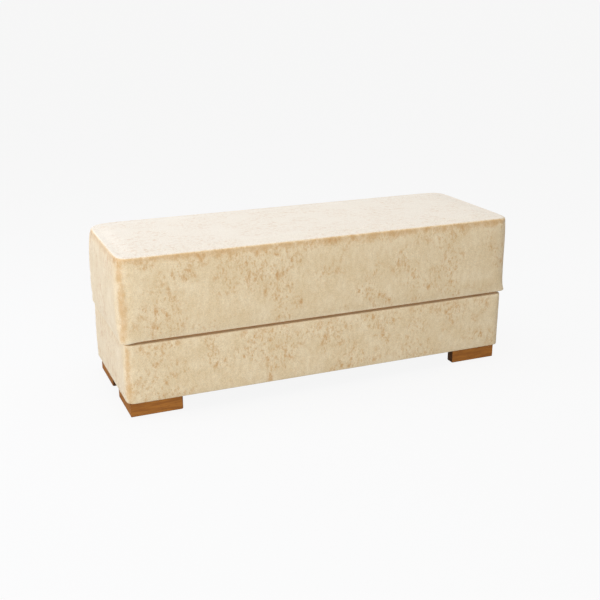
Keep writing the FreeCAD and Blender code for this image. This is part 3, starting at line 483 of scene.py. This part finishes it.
def mark_wear_and_painted_light(piece, rest, plan, corner, low, high):
    """Marks where the pile is worn, the painted highlight on the folds beside the groove, the
    painted shade with some soiling in the groove, and nearness to the top.
    """
    is_lid = high == LID_TOP
    gap_x, gap_y = side_gaps(rest, plan)
    x, y, z = rest.T
    on_corner = np.exp(-(np.maximum(gap_x, gap_y) / (0.7 * corner)) ** 3)
    strength = np.where((x < 0) & (y < 0), 1, OTHER_CORNERS)
    edge = WORN_CORNER * strength * on_corner
    if is_lid:
        under_top = WORN_TOP * np.exp(-((high - TOP_WEAR_BELOW - z) / TOP_WEAR_HEIGHT) ** 2)
        edge = np.maximum(edge, under_top) * fade(z, high, high - 0.004)
    rim = low if is_lid else high
    # Painted highlight: a paler band on the folds beside the groove.
    lip = np.exp(-np.abs(z - rim) / LIP_HIGHLIGHT_HEIGHT)
    # Painted shade, with some soiling, on the turned-in cloth in the groove.
    groove_shade_and_soil = fade(np.minimum(gap_x, gap_y), *GROOVE_SHADE_AND_SOIL_IN) * fade(np.abs(z - rim), *GROOVE_SHADE_AND_SOIL_UP)
    mark(piece, "edge_wear", edge * (1 - lip))
    mark(piece, "upper", np.exp(-np.clip(high - z, 0, None) / UPPER_REACH))
    mark(piece, "groove_shade_and_soil", groove_shade_and_soil)
    mark(piece, "lip", lip * (1 - groove_shade_and_soil) * (1 if is_lid else BASE_LIP_HIGHLIGHT))


# ------------------------------------------------------------------------------- inner padding


def padding_block(name, plan, corner, z_low, z_high, top_radius, rows):
    """A closed block of foam with rounded upper edges, pressed to the settled shape of the lid."""
    z_edge = z_high - top_radius
    rings = [ring(plan, corner, z) for z in np.linspace(z_low, z_edge, rows)]
    rings += rounded_edge(plan, corner, z_edge, top_radius, 5)
    points, faces = skin(rings, closed=True)
    under, under_faces = skin(rings[:1], closed=True)
    shift = len(points)
    faces += [tuple(shift + k for k in face[::-1]) for face in under_faces]
    piece = new_piece(name, settle(np.concatenate([points, under])), faces)
    weld(piece)
    return piece


def lid_wadding():
    """The wadding cap between the top foam and the cover."""
    plan = shrunk(LID, COVER)
    corner = LID_CORNER - COVER
    z_edge = LID_TOP - TOP_EDGE
    rings = [ring(plan, corner, z) for z in np.linspace(BOARD_TOP, z_edge, 6)]
    rings += rounded_edge(plan, corner, z_edge, TOP_EDGE - COVER, 6)
    points, faces = skin(rings, closed=True)
    piece = new_piece("lid_wadding_cap", settle(points), faces)
    thicken(piece, WADDING - LOOSE_FIT)
    return piece


STRIP_CELL = 0.02  # size of the quads of a flat strip
STRIP_EDGE = 0.0012  # radius of its edges


def padding_strip(name, node):
    """A flat strip of padding with softly rounded edges, in the box of a node."""
    low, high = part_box(node)
    spans = [high[k] - low[k] for k in range(3)]
    cells = [max(2, int(span / STRIP_CELL)) for span in spans]
    piece = new_piece(name, *grid_box(low, high, cells))
    bevel = piece.modifiers.new("soft_edges", "BEVEL")
    bevel.width = STRIP_EDGE
    bevel.segments = 3
    bevel.limit_method = "ANGLE"
    apply_modifiers(piece)
    return piece


def grid_box(low, high, cells):
    """Points and quads of a box whose sides are divided into cells."""
    axes = [np.linspace(low[k], high[k], cells[k] + 1) for k in range(3)]
    points, index, faces = [], {}, []

    def at(i, j, k):
        if (i, j, k) not in index:
            index[i, j, k] = len(points)
            points.append((axes[0][i], axes[1][j], axes[2][k]))
        return index[i, j, k]

    for axis in range(3):
        u, v = (axis + 1) % 3, (axis + 2) % 3
        for end in (0, cells[axis]):
            for a in range(cells[u]):
                for b in range(cells[v]):
                    quad = []
                    for da, db in ((0, 0), (1, 0), (1, 1), (0, 1)):
                        cell = [0, 0, 0]
                        cell[axis], cell[u], cell[v] = end, a + da, b + db
                        quad.append(at(*cell))
                    faces.append(quad if end else quad[::-1])
    return np.array(points), faces


PANEL_CORNER = 0.002  # radius of the corners of the frame inside the foam


def side_padding(name, plan, corner, z_low, z_high, settled):
    """The foam that is glued round the front and the ends: a wall, open at the back."""
    levels = np.linspace(z_low, z_high, 9)
    outside = [ring(shrunk(plan, COVER), corner, z) for z in levels]
    inside = [ring(FRAME, PANEL_CORNER, z) for z in levels[::-1]]
    count = len(outside[0])
    back_start = ALONG_X + ALONG_Y + 2 * ROUND
    keep = [k % count for k in range(back_start + ALONG_X, count + back_start + 1)]
    points, faces = strip_skin([wall[keep] for wall in outside + inside])
    return new_piece(name, settle(points) if settled else points, faces)


def strip_skin(rings):
    """A closed strip: the rings run from end to end, and the last joins the first."""
    rows, count = len(rings), len(rings[0])
    points = np.concatenate(rings)
    faces = []
    for row in range(rows):
        below, above = row * count, (row + 1) % rows * count
        faces += [(below + k, below + k + 1, above + k + 1, above + k) for k in range(count - 1)]
    half = rows // 2
    for k in (0, count - 1):
        for row in range(half - 1):
            far = rows - 1 - row
            quad = (row * count + k, (row + 1) * count + k, (far - 1) * count + k, far * count + k)
            faces.append(quad if k == 0 else quad[::-1])
    return points, faces


# ------------------------------------------------------------------------------- lining cloths


HEM_HEIGHT = 0.006
END_WAVE, SIDE_WAVE = 0.0009, 0.003  # how far the walls hang in at the ends, and at front and back
FLOOR_WAVE, CEILING_SAG = 0.0022, 0.0035


def lining_cloth(name, node, closed_low):
    """The cloth box that lines a frame: its corners are cut off, and it is a little loose."""
    z_low, z_high = heights(node)
    z_low, z_high = z_low + LINING_GAP, z_high - LINING_GAP
    floor, rim, bend = (z_low, z_high, LINING_BEND) if closed_low else (z_high, z_low, -LINING_BEND)
    plan = shrunk(INNER, LINING_GAP)
    rings = [ring(plan, CUT_CORNER, z, cut=True) for z in np.linspace(rim, floor + bend, 22)]
    rings += rounded_edge(plan, CUT_CORNER, floor + bend, -bend, 4, cut=True)
    rest, faces = skin(rings, closed=True)
    if closed_low:
        faces = [face[::-1] for face in faces]
    piece = new_piece(name, loosen(rest, plan, rim, floor), faces)
    mark(piece, "hem", np.exp(-np.abs(rest[:, Z] - rim) / HEM_HEIGHT))
    thicken(piece, LINING, offset=0)
    return piece


def loosen(rest, plan, rim, floor):
    """Waves in the lining: its walls hang in from the frame, and its flat part ripples."""
    x, y, z = rest.T
    gap_x, gap_y = side_gaps(rest, plan)
    height = np.abs(z - rim) / abs(floor - rim)
    hang = height * (1 - height) * 4
    waves = (0.5 + 0.5 * soft_noise(rest * (1, 1, 0.35), 0.045, seed=11)) * hang
    on_end = np.exp(-(gap_x / LINING_BEND) ** 2) * fade(gap_y, CUT_CORNER, 2 * CUT_CORNER)
    on_side = np.exp(-(gap_y / LINING_BEND) ** 2) * fade(gap_x, CUT_CORNER, 2 * CUT_CORNER)
    flat = fade(np.minimum(gap_x, gap_y), LINING_BEND, 0.05)
    ripple = 0.5 + 0.5 * soft_noise(rest, 0.11, seed=13)
    points = rest.copy()
    points[:, X] -= np.sign(x) * END_WAVE * waves * on_end
    points[:, Y] -= np.sign(y - (plan[2] + plan[3]) / 2) * SIDE_WAVE * waves * on_side
    points[:, Z] += (FLOOR_WAVE if floor < rim else -CEILING_SAG) * ripple * flat
    return points


DUST_HEM = 0.012
DUST_SAG, DUST_RIPPLE = 0.006, 0.0012
SAG_FROM_EDGE = (0.04, 0.16)  # in from the edge: where the sag starts, and where it is full
SAG_FROM_FEET = (0.17, 0.24)  # the same, in from the ends, which clears the feet


def dust_cloth():
    """The thin cloth stapled under the base, hemmed, and sagging a little between the feet."""
    plan = outline("dust_cover")
    z_low, z_high = heights("dust_cover")
    middle, corner = (z_low + z_high) / 2, 0.004
    hem = between(ring(plan, corner, middle), ring(shrunk(plan, DUST_HEM), corner, middle), 3)
    rest, faces = skin(hem, closed=True)
    gap_x, gap_y = side_gaps(rest, plan)
    inward = np.minimum(gap_x, gap_y)
    sag = fade(inward, *SAG_FROM_EDGE) * fade(gap_x, *SAG_FROM_FEET)
    ripple = 0.5 + 0.5 * soft_noise(rest, 0.05, seed=17)
    points = rest.copy()
    points[:, Z] -= (DUST_SAG + DUST_RIPPLE * ripple) * sag
    piece = new_piece("dust_cloth_sheet", points, faces)
    mark(piece, "hem", 1 - fade(inward, DUST_HEM - 0.002, DUST_HEM))
    thicken(piece, z_high - z_low, offset=0)
    return piece


# ---------------------------------------------------------------------------------- materials


def rgb(red, green, blue):
    """A colour given as it shows on a screen, from 0 to 255, as the shader's linear numbers."""
    values = [v / 255 for v in (red, green, blue)]
    return tuple(v / 12.92 if v <= 0.04045 else ((v + 0.055) / 1.055) ** 2.4 for v in values) + (1,)


def darker(colour, share):
    """A share of a colour's brightness."""
    return tuple(share * v for v in colour[:3]) + (1,)


class Finish:
    """A material made of nodes round one Principled shader."""

    def __init__(self, name, **constants):
        self.material = bpy.data.materials.new(name)
        self.material.use_nodes = True
        self.tree = self.material.node_tree
        self.shader = next(n for n in self.tree.nodes if n.type == "BSDF_PRINCIPLED")
        for socket, value in constants.items():
            self.shader.inputs[socket.replace("_", " ")].default_value = value
        self.place = self.add("ShaderNodeTexCoord", {}).outputs["Object"]

    def add(self, kind, inputs, **settings):
        """A node with its settings, its inputs linked or set."""
        node = self.tree.nodes.new(kind)
        for key, value in settings.items():
            setattr(node, key, value)
        for key, value in inputs.items():
            if isinstance(value, bpy.types.NodeSocket):
                self.tree.links.new(value, node.inputs[key])
            else:
                node.inputs[key].default_value = value
        return node

    def attribute(self, name):
        """What mark() kept under this name."""
        return self.add("ShaderNodeAttribute", {}, attribute_name=name).outputs["Fac"]

    def stretched(self, scale):
        """The place on the object, scaled along each axis: less than 1 makes features longer."""
        node = self.add("ShaderNodeMapping", {"Vector": self.place, "Scale": scale})
        return node.outputs["Vector"]

    def noise(self, size, place=None, detail=2, roughness=0.5, distortion=0):
        """Noise from 0 to 1 whose features are about size metres across."""
        inputs = {
            "Vector": place or self.place, "Scale": 1 / size, "Detail": detail,
            "Roughness": roughness, "Distortion": distortion,
        }
        return self.add("ShaderNodeTexNoise", inputs).outputs["Fac"]

    def cells(self, size):
        """Distance from the middle of the nearest of many cells, about size metres across."""
        inputs = {"Vector": self.place, "Scale": 1 / size}
        return self.add("ShaderNodeTexVoronoi", inputs).outputs["Distance"]

    def step(self, value, low, high, to_low=0.0, to_high=1.0):
        """Turns low..high smoothly into to_low..to_high, and holds it outside that."""
        inputs = {
            "Value": value, "From Min": low, "From Max": high, "To Min": to_low, "To Max": to_high,
        }
        node = self.add("ShaderNodeMapRange", inputs, interpolation_type="SMOOTHSTEP")
        return node.outputs["Result"]

    def math(self, operation, first, second=0.0):
        """One Math node; its second number is not used by SINE and ABSOLUTE."""
        return self.add("ShaderNodeMath", {0: first, 1: second}, operation=operation).outputs[0]

    def times(self, first, second):
        return self.math("MULTIPLY", first, second)

    def mix(self, factor, first, second, mode="MIX"):
        """A colour between the first, at factor 0, and the second, at 1."""
        node = self.add("ShaderNodeMix", {}, data_type="RGBA", blend_type=mode)
        for index, value in ((0, factor), (6, first), (7, second)):
            if isinstance(value, bpy.types.NodeSocket):
                self.tree.links.new(value, node.inputs[index])
            else:
                node.inputs[index].default_value = value
        return node.outputs[2]

    def bump(self, height, distance, strength):
        """A normal that shows a height from 0 to 1 as relief of a distance in metres."""
        inputs = {"Height": height, "Distance": distance, "Strength": strength}
        return self.add("ShaderNodeBump", inputs).outputs["Normal"]

    def wear(self, **links):
        """Links sockets of the shader, and returns the material."""
        for socket, value in links.items():
            self.tree.links.new(value, self.shader.inputs[socket.replace("_", " ")])
        return self.material


def velvet():
    """Cream crushed velvet, rubbed to gold in clusters of flecks and along the edges, with painted
    sheen on the top face, painted highlight on the folds by the groove and painted shade in the
    groove.
    """
    f = Finish(
        "distressed_velvet", Sheen_Weight=0.4, Sheen_Roughness=0.4,
        Sheen_Tint=rgb(255, 252, 246), Specular_IOR_Level=0.15,
    )
    upright = f.stretched((1, 1, 0.62))
    upper = f.times(f.attribute("upper"), 0.09)
    clusters = f.step(f.math("ADD", f.noise(0.11, detail=2, roughness=0.5), upper), 0.45, 0.60)
    blotches = f.step(f.noise(0.015, upright, detail=4, roughness=0.65), 0.50, 0.72)
    flecks = f.step(f.noise(0.007, upright, detail=3, roughness=0.6), 0.50, 0.68)
    ragged = f.noise(0.030, f.stretched((1, 1, 0.8)), detail=5, roughness=0.7)
    clouds = f.noise(0.05, detail=4, roughness=0.6)
    crush = f.noise(0.012, f.stretched((1, 1, 0.5)), detail=5, roughness=0.7)
    grain = f.noise(0.0026, detail=3, roughness=0.7)
    edge, lip = f.attribute("edge_wear"), f.attribute("lip")
    top, groove_shade_and_soil = f.attribute("top"), f.attribute("groove_shade_and_soil")

    patches = f.times(f.step(clusters, 0, 1, 0.16, 1.0), blotches)
    spots = f.times(f.step(clusters, 0, 1, 0.22, 1.0), flecks)
    rubbed = f.math("MAXIMUM", patches, f.times(spots, 0.6))
    # Painted sheen and highlight: the rubbed marks are fainter on the top face and on the folds
    # beside the groove.
    rubbed = f.times(rubbed, f.step(top, 0, 1, 1.0, 0.5))
    rubbed = f.times(rubbed, f.step(lip, 0, 1, 1.0, 0.3))
    worn_edge = f.math("ADD", edge, f.times(f.math("SUBTRACT", ragged, 0.5), 2.0))
    worn_edge = f.times(f.step(worn_edge, 0.2, 1.0), f.step(edge, 0.02, 0.2))

    pile = f.mix(f.step(clouds, 0.32, 0.68), rgb(228, 208, 172), rgb(236, 219, 187))
    pile = f.mix(f.step(crush, 0.35, 0.65, 0.45, 0.0), pile, rgb(216, 192, 152))
    # Painted sheen: the top face is painted paler and whiter.
    pile = f.mix(f.times(top, 0.75), pile, rgb(240, 234, 222))
    pile = f.mix(f.times(rubbed, 0.74), pile, rgb(196, 146, 84))
    pile = f.mix(f.times(worn_edge, 0.65), pile, rgb(200, 158, 104))
    # Painted highlight: the folds beside the groove are painted paler.
    pile = f.mix(f.times(lip, 0.45), pile, rgb(240, 228, 202))
    # Painted shade, with some soiling, in the groove where the cover turns in.
    ragged_groove_shade_and_soil = f.times(groove_shade_and_soil, f.step(ragged, 0.3, 0.7, 0.45, 0.8))
    pile = f.mix(ragged_groove_shade_and_soil, pile, rgb(216, 174, 106))
    shade = f.mix(f.step(grain, 0.3, 0.7), rgb(214, 214, 214), rgb(255, 255, 255))
    pile = f.mix(0.6, pile, shade, "MULTIPLY")

    height = f.math("ADD", f.times(grain, 0.5), crush)
    height = f.math("SUBTRACT", height, f.times(rubbed, 0.5))
    return f.wear(
        Base_Color=pile,
        Roughness=f.step(rubbed, 0, 1, 0.92, 0.72),
        Normal=f.bump(height, 0.0005, 0.5),
    )


def board_wood(name, along, light, dark, gloss, end_grain_and_shade_tone):
    """Wood whose grain runs along one axis, "x" or "y", and is darker on its end faces: darker end
    grain, and on the feet painted shade as well.
    """
    f = Finish(name, Coat_Weight=gloss, Coat_Roughness=0.3, Specular_IOR_Level=0.25)
    fine = {"x": (0.06, 1, 1), "y": (1, 0.06, 1)}[along]
    coarse = {"x": (0.10, 1, 1), "y": (1, 0.10, 1)}[along]
    bands = f.noise(0.010, f.stretched(coarse), detail=4, roughness=0.6, distortion=0.6)
    fibres = f.noise(0.0016, f.stretched(fine), detail=3, roughness=0.7)
    pores = f.step(f.noise(0.0011, f.stretched(fine), detail=1), 0.62, 0.70)
    colour = f.mix(f.step(bands, 0.30, 0.70, 0.35, 0.9), dark, light)
    colour = f.mix(f.step(fibres, 0.35, 0.75, 0.0, 0.25), colour, dark)
    colour = f.mix(f.times(pores, 0.35), colour, darker(dark, 0.45))
    facing = f.add("ShaderNodeSeparateXYZ", {0: f.add("ShaderNodeTexCoord", {}).outputs["Normal"]})
    end_grain = f.step(f.math("ABSOLUTE", facing.outputs["xy".index(along)]), 0.4, 0.9)
    # The end faces are painted darker: darker end grain, and on the feet also painted shade.
    colour = f.mix(f.times(end_grain, 0.85), colour, darker(dark, end_grain_and_shade_tone))
    height = f.math("SUBTRACT", f.times(fibres, 0.4), pores)
    return f.wear(
        Base_Color=colour,
        Roughness=f.step(fibres, 0.3, 0.7, 0.42, 0.6),
        Normal=f.bump(height, 0.00025, 0.5),
    )


PLY_RHYTHM = 2400.0  # radians for each metre of height, which is a glue line every 2.6 mm


def plywood():
    """Birch board: pale faces with broad figure, and dark glue lines through the thickness."""
    f = Finish("birch_plywood", Specular_IOR_Level=0.3)
    figure = f.noise(0.02, f.stretched((0.08, 1, 1)), detail=4, roughness=0.6, distortion=0.8)
    height = f.add("ShaderNodeSeparateXYZ", {0: f.place}).outputs[2]
    layers = f.math("SINE", f.times(height, PLY_RHYTHM))
    colour = f.mix(f.step(figure, 0.35, 0.65), rgb(206, 174, 126), rgb(228, 203, 160))
    colour = f.mix(f.step(layers, 0.75, 0.95, 0.0, 0.18), colour, rgb(150, 112, 70))
    return f.wear(
        Base_Color=colour,
        Roughness=f.step(figure, 0.3, 0.7, 0.55, 0.75),
        Normal=f.bump(figure, 0.0002, 0.5),
    )


def foam():
    """Open-cell foam: pale yellow, pitted with small bubbles."""
    f = Finish("seat_foam", Specular_IOR_Level=0.1)
    bubbles = f.cells(0.0022)
    tone = f.noise(0.05, detail=3)
    colour = f.mix(f.step(bubbles, 0.1, 0.5), rgb(196, 172, 108), rgb(238, 220, 164))
    colour = f.mix(f.step(tone, 0.35, 0.65, 0.0, 0.3), colour, rgb(226, 196, 130))
    return f.wear(
        Base_Color=colour,
        Roughness=f.step(tone, 0.3, 0.7, 0.9, 1.0),
        Normal=f.bump(bubbles, 0.0008, 0.7),
    )


def wadding():
    """Polyester wadding: white fibres that cross in all directions."""
    f = Finish("polyester_wadding", Sheen_Weight=0.3, Sheen_Roughness=0.5, Specular_IOR_Level=0.1)
    fibres = f.noise(0.003, f.stretched((1, 0.2, 0.4)), detail=5, roughness=0.75, distortion=2.0)
    clumps = f.noise(0.03, detail=3)
    colour = f.mix(f.step(fibres, 0.3, 0.7), rgb(222, 224, 226), rgb(250, 250, 248))
    colour = f.mix(f.step(clumps, 0.35, 0.65, 0.0, 0.25), colour, rgb(212, 214, 218))
    return f.wear(
        Base_Color=colour,
        Roughness=f.step(clumps, 0.3, 0.7, 0.88, 1.0),
        Normal=f.bump(fibres, 0.0015, 0.8),
    )


def woven(name, light, dark, pitch, hem_colour):
    """A plain weave: threads cross over and under, a little uneven, with a stitched hem."""
    f = Finish(name, Specular_IOR_Level=0.15, Sheen_Weight=0.1, Sheen_Roughness=0.6)
    waver = f.noise(0.01, detail=2)
    parts = f.add("ShaderNodeSeparateXYZ", {0: f.place})
    threads = []
    for axis in range(3):
        turned = f.times(parts.outputs[axis], 2 * math.pi / pitch)
        threads.append(f.math("SINE", f.math("ADD", turned, f.times(waver, 2.0))))
    crossings = [f.times(threads[k], threads[k - 1]) for k in range(3)]
    weave = f.math("ADD", f.math("ADD", crossings[0], crossings[1]), crossings[2])
    slubs = f.noise(0.0012, f.stretched((0.15, 1, 1)), detail=2)
    tone = f.noise(0.07, detail=3)
    colour = f.mix(f.step(weave, -1.0, 3.0, 0.3, 1.0), dark, light)
    colour = f.mix(f.step(slubs, 0.55, 0.75, 0.0, 0.4), colour, light)
    colour = f.mix(f.step(tone, 0.35, 0.65, 0.0, 0.25), colour, dark)
    colour = f.mix(f.times(f.attribute("hem"), 0.5), colour, hem_colour)
    return f.wear(
        Base_Color=colour,
        Roughness=f.step(tone, 0.3, 0.7, 0.8, 0.95),
        Normal=f.bump(weave, 0.0003, 0.5),
    )


def spunbond():
    """Non-woven dust cloth: matted fibres pressed with a grid of small dots."""
    f = Finish("spunbond_dust_cloth", Specular_IOR_Level=0.2)
    dots = f.cells(0.0022)
    fibres = f.noise(0.0016, f.stretched((1, 0.3, 1)), detail=4, roughness=0.8, distortion=2.0)
    tone = f.noise(0.09, detail=3)
    colour = f.mix(f.step(fibres, 0.3, 0.7), rgb(34, 34, 36), rgb(62, 62, 64))
    colour = f.mix(f.step(dots, 0.25, 0.1, 0.0, 0.6), colour, rgb(24, 24, 26))
    colour = f.mix(f.step(tone, 0.4, 0.6, 0.0, 0.3), colour, rgb(72, 71, 72))
    colour = f.mix(f.times(f.attribute("hem"), 0.35), colour, rgb(20, 20, 22))
    return f.wear(
        Base_Color=colour,
        Roughness=f.step(fibres, 0.3, 0.7, 0.75, 0.95),
        Normal=f.bump(fibres, 0.0003, 0.6),
    )


def felt():
    """Dense brown felt, whose dark warm brown is also painted shade for the groove between lid and
    base.
    """
    f = Finish("rim_felt_groove_shade", Sheen_Weight=0.3, Sheen_Roughness=0.6, Specular_IOR_Level=0.1)
    fibres = f.noise(0.0011, f.stretched((0.5, 1, 1)), detail=5, roughness=0.8, distortion=1.5)
    tone = f.noise(0.02, detail=2)
    # Painted shade: this dark warm brown stands in for the shade in the groove between lid and
    # base.
    colour = f.mix(f.step(fibres, 0.3, 0.7), rgb(128, 90, 48), rgb(176, 130, 76))
    colour = f.mix(f.step(tone, 0.35, 0.65, 0.0, 0.3), colour, rgb(150, 110, 62))
    return f.wear(
        Base_Color=colour,
        Roughness=f.step(tone, 0.3, 0.7, 0.9, 1.0),
        Normal=f.bump(fibres, 0.0006, 0.8),
    )


def metal(name, light, dark, along, roughness):
    """Plated or brushed metal: fine scratches along one axis, faint stains, duller patches."""
    f = Finish(name, Metallic=1.0)
    scratches = f.noise(0.0006, f.stretched(along), detail=3, roughness=0.7)
    stains = f.noise(0.012, detail=4, roughness=0.6)
    colour = f.mix(f.step(stains, 0.35, 0.68), light, dark)
    colour = f.mix(f.step(scratches, 0.5, 0.75, 0.0, 0.3), colour, light)
    return f.wear(
        Base_Color=colour,
        Roughness=f.step(stains, 0.3, 0.7, roughness, roughness + 0.18),
        Normal=f.bump(scratches, 0.00006, 0.5),
    )


def foot_wood(name, along):
    """Honey-brown lacquered hardwood, its end faces nearly black: darker end grain, and painted
    shade on the inner ends of the feet, which lie in shadow under the bench.
    """
    return board_wood(name, along, rgb(172, 112, 47), rgb(120, 69, 25), gloss=0.08, end_grain_and_shade_tone=0.2)


def frame_pine(name, along):
    return board_wood(name, along, rgb(226, 196, 146), rgb(192, 150, 98), gloss=0.0, end_grain_and_shade_tone=0.7)


THREAD_PITCH = 0.0014

FINISHES = {  # one for each slot of the record
    "velvet": velvet(),
    "foam": foam(),
    "wadding": wadding(),
    "lining": woven(
        "lining_cotton", rgb(226, 212, 186), rgb(152, 132, 101), THREAD_PITCH, rgb(150, 130, 100)
    ),
    "dust_cloth": spunbond(),
    "plywood": plywood(),
    "frame_wood": frame_pine("frame_pine", "x"),
    "foot_wood": foot_wood("honey_foot_wood_long", "x"),
    "felt": felt(),
    "hinge_steel": metal(
        "zinc_plated_hinges", rgb(196, 198, 200), rgb(150, 152, 156), (0.1, 1, 1), 0.28
    ),
    "stay_steel": metal(
        "zinc_plated_stays", rgb(190, 192, 194), rgb(138, 140, 146), (1, 0.1, 0.3), 0.3
    ),
    "screw_steel": metal(
        "yellow_zinc_screws", rgb(206, 182, 120), rgb(160, 132, 78), (1, 1, 1), 0.3
    ),
    "staple_wire": metal(
        "galvanised_staples", rgb(192, 194, 196), rgb(146, 148, 152), (0.2, 1, 1), 0.35
    ),
}
END_BOARD_WOOD = foot_wood("honey_foot_wood_end", "y")
END_FRAME_WOOD = frame_pine("frame_pine_end", "y")


def finish_node(name, node):
    """Gives a CAD node the detailed finish of its slot."""
    slot = node.data.materials[0].name.split(".")[0]
    material = FINISHES[slot]
    if name.endswith("_end_board"):
        material = END_BOARD_WOOD
    elif slot == "frame_wood" and ("_left_" in name or "_right_" in name or "cross" in name):
        material = END_FRAME_WOOD
    node.data.materials.clear()
    node.data.materials.append(material)


for node_name, node_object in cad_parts.items():
    finish_node(node_name, node_object)

# --------------------------------------------------------------------------------- the pieces


def install(piece, body, slot, *nodes):
    """Dresses a piece in its slot's finish, and puts it on its body in place of its CAD nodes."""
    piece.data.materials.clear()
    piece.data.materials.append(FINISHES[slot])
    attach(piece, body)
    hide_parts(*nodes)
    return piece


def install_padded(piece, body, slot, fill, *nodes):
    """Installs a cushion or pad; its fill, how tightly it is filled from 0 to 1, is not used."""
    install(piece, body, slot, *nodes)


install_padded(lid_upholstery(), "lid", "velvet", 0.9, "lid_top_cover", "lid_side_cover")
install_padded(base_upholstery(), "base", "velvet", 0.9, "base_cover")

foam_plan = shrunk(LID, TOP_FOAM_INSET)
foam_low, foam_high = heights("lid_seat_foam")
install_padded(
    padding_block(
        "lid_seat_cushion", foam_plan, LID_CORNER - TOP_FOAM_INSET, foam_low, foam_high,
        TOP_EDGE - TOP_FOAM_INSET, 7,
    ),
    "lid", "foam", 1.0, "lid_seat_foam",
)
install_padded(lid_wadding(), "lid", "wadding", 0.8, "lid_top_wadding")
for box_name, plan, corner in (("lid", LID, LID_CORNER), ("base", BASE, BASE_CORNER)):
    side_node = f"{box_name}_side_foam"
    side = side_padding(
        f"{box_name}_side_padding", plan, corner - COVER, *heights(side_node), box_name == "lid"
    )
    install_padded(side, box_name, "foam", 1.0, side_node)
for box_name in ("lid", "base"):
    back_node = f"{box_name}_back_wadding"
    back = padding_strip(f"{box_name}_back_padding", back_node)
    install_padded(back, box_name, "wadding", 0.8, back_node)


for box_name, closed_low, panel in (
    ("base", True, "base_bottom_panel"), ("lid", False, "lid_inner_panel"),
):
    lining_node = f"{box_name}_lining"
    cloth = lining_cloth(f"{box_name}_lining_cloth", lining_node, closed_low)
    install(cloth, box_name, "lining", lining_node)

dust = install(dust_cloth(), "base", "dust_cloth", "dust_cover")

# ------------------------------------------------------------------------- studio and camera


FLOOR_REACH = 150  # the floor's edges are out of sight
FLOOR_LEVEL = -0.0005  # just under the feet
FLOOR_GREY = (0.06, 0.06, 0.06, 1)
FLOOR_GLOW = 0.895  # the floor is so pale because it glows


def studio_floor():
    """A plain pale floor that takes only a faint shadow."""
    reach = FLOOR_REACH
    corners = [(-reach, -reach), (reach, -reach), (reach, reach), (-reach, reach)]
    points = np.array([(x, y, FLOOR_LEVEL) for x, y in corners])
    floor = new_piece("studio_floor", points, [(0, 1, 2, 3)])
    material = bpy.data.materials.new("pale_floor")
    material.use_nodes = True
    tree = material.node_tree
    shader = next(n for n in tree.nodes if n.type == "BSDF_PRINCIPLED")
    shader.inputs["Base Color"].default_value = FLOOR_GREY
    shader.inputs["Roughness"].default_value = 1
    shader.inputs["Specular IOR Level"].default_value = 0
    shader.inputs["Emission Color"].default_value = (1, 1, 1, 1)
    shader.inputs["Emission Strength"].default_value = FLOOR_GLOW
    floor.data.materials.append(material)
    floor.visible_diffuse = False
    floor.visible_glossy = False


def softbox(name, place, aim, width, height, power, tint=(1, 1, 1)):
    """A rectangle of light that faces the point it aims at, of a power in watts."""
    light = bpy.data.lights.new(name, "AREA")
    light.shape = "RECTANGLE"
    light.size, light.size_y = width, height
    light.energy = power
    light.color = tint
    lamp = bpy.data.objects.new(name, light)
    bpy.context.scene.collection.objects.link(lamp)
    direction = np.array(aim, float) - np.array(place, float)
    across = math.hypot(direction[0], direction[1])
    lamp.location = place
    lamp.rotation_euler = (
        math.atan2(across, -direction[2]), 0, math.atan2(direction[1], direction[0]) - math.pi / 2
    )


studio_floor()
softbox("overhead_softbox", (0.1, 0.1, 2.6), (0.1, 0, 0.3), 2.4, 1.8, 26, (0.99, 1.01, 1.10))
softbox("left_softbox", (-2.7, 0.4, 1.0), (-0.6, 0, 0.25), 1.6, 1.6, 38, (0.94, 0.99, 1.14))
softbox("front_fill", (-1.5, -3.1, 0.8), (-0.4, 0, 0.25), 2.2, 1.6, 68)

AIR_TINT = (1, 0.985, 0.96, 1)
# The air is bright round the horizon, and falls off to these strengths below and above it:
# lowest and highest direction Z, and the strength at each.
BELOW_HORIZON = (-0.1, 0.0, 0.16, 0.94)
TOWARDS_ZENITH = (0.2, 0.45, 0.94, 0.46)


def studio_air():
    """Soft light from all round."""
    world = bpy.data.worlds.new("studio_air")
    world.use_nodes = True
    nodes, links = world.node_tree.nodes, world.node_tree.links
    direction = nodes.new("ShaderNodeSeparateXYZ")
    links.new(nodes.new("ShaderNodeTexCoord").outputs["Generated"], direction.inputs[0])
    least = nodes.new("ShaderNodeMath")
    least.operation = "MINIMUM"
    for index, limits in enumerate((BELOW_HORIZON, TOWARDS_ZENITH)):
        ramp = nodes.new("ShaderNodeMapRange")
        for socket, value in zip(("From Min", "From Max", "To Min", "To Max"), limits):
            ramp.inputs[socket].default_value = value
        links.new(direction.outputs["Z"], ramp.inputs["Value"])
        links.new(ramp.outputs["Result"], least.inputs[index])
    nodes["Background"].inputs["Color"].default_value = AIR_TINT
    links.new(least.outputs[0], nodes["Background"].inputs["Strength"])
    bpy.context.scene.world = world


CAMERA_PLACE = (-1.0836, -2.5634, 1.1324)
CAMERA_DOWN, CAMERA_RIGHT = 0.3208, 0.3999  # radians below the horizon, and right of straight back


def photo_camera():
    """A camera at the viewing angle of the bench's picture."""
    lens = bpy.data.cameras.new("camera")
    lens.lens = 56.56
    lens.sensor_width = 36
    camera = bpy.data.objects.new("camera", lens)
    bpy.context.scene.collection.objects.link(camera)
    camera.location = CAMERA_PLACE
    camera.rotation_euler = (math.pi / 2 - CAMERA_DOWN, 0, -CAMERA_RIGHT)
    bpy.context.scene.camera = camera


studio_air()
photo_camera()
bpy.context.scene.view_settings.view_transform = "Standard"
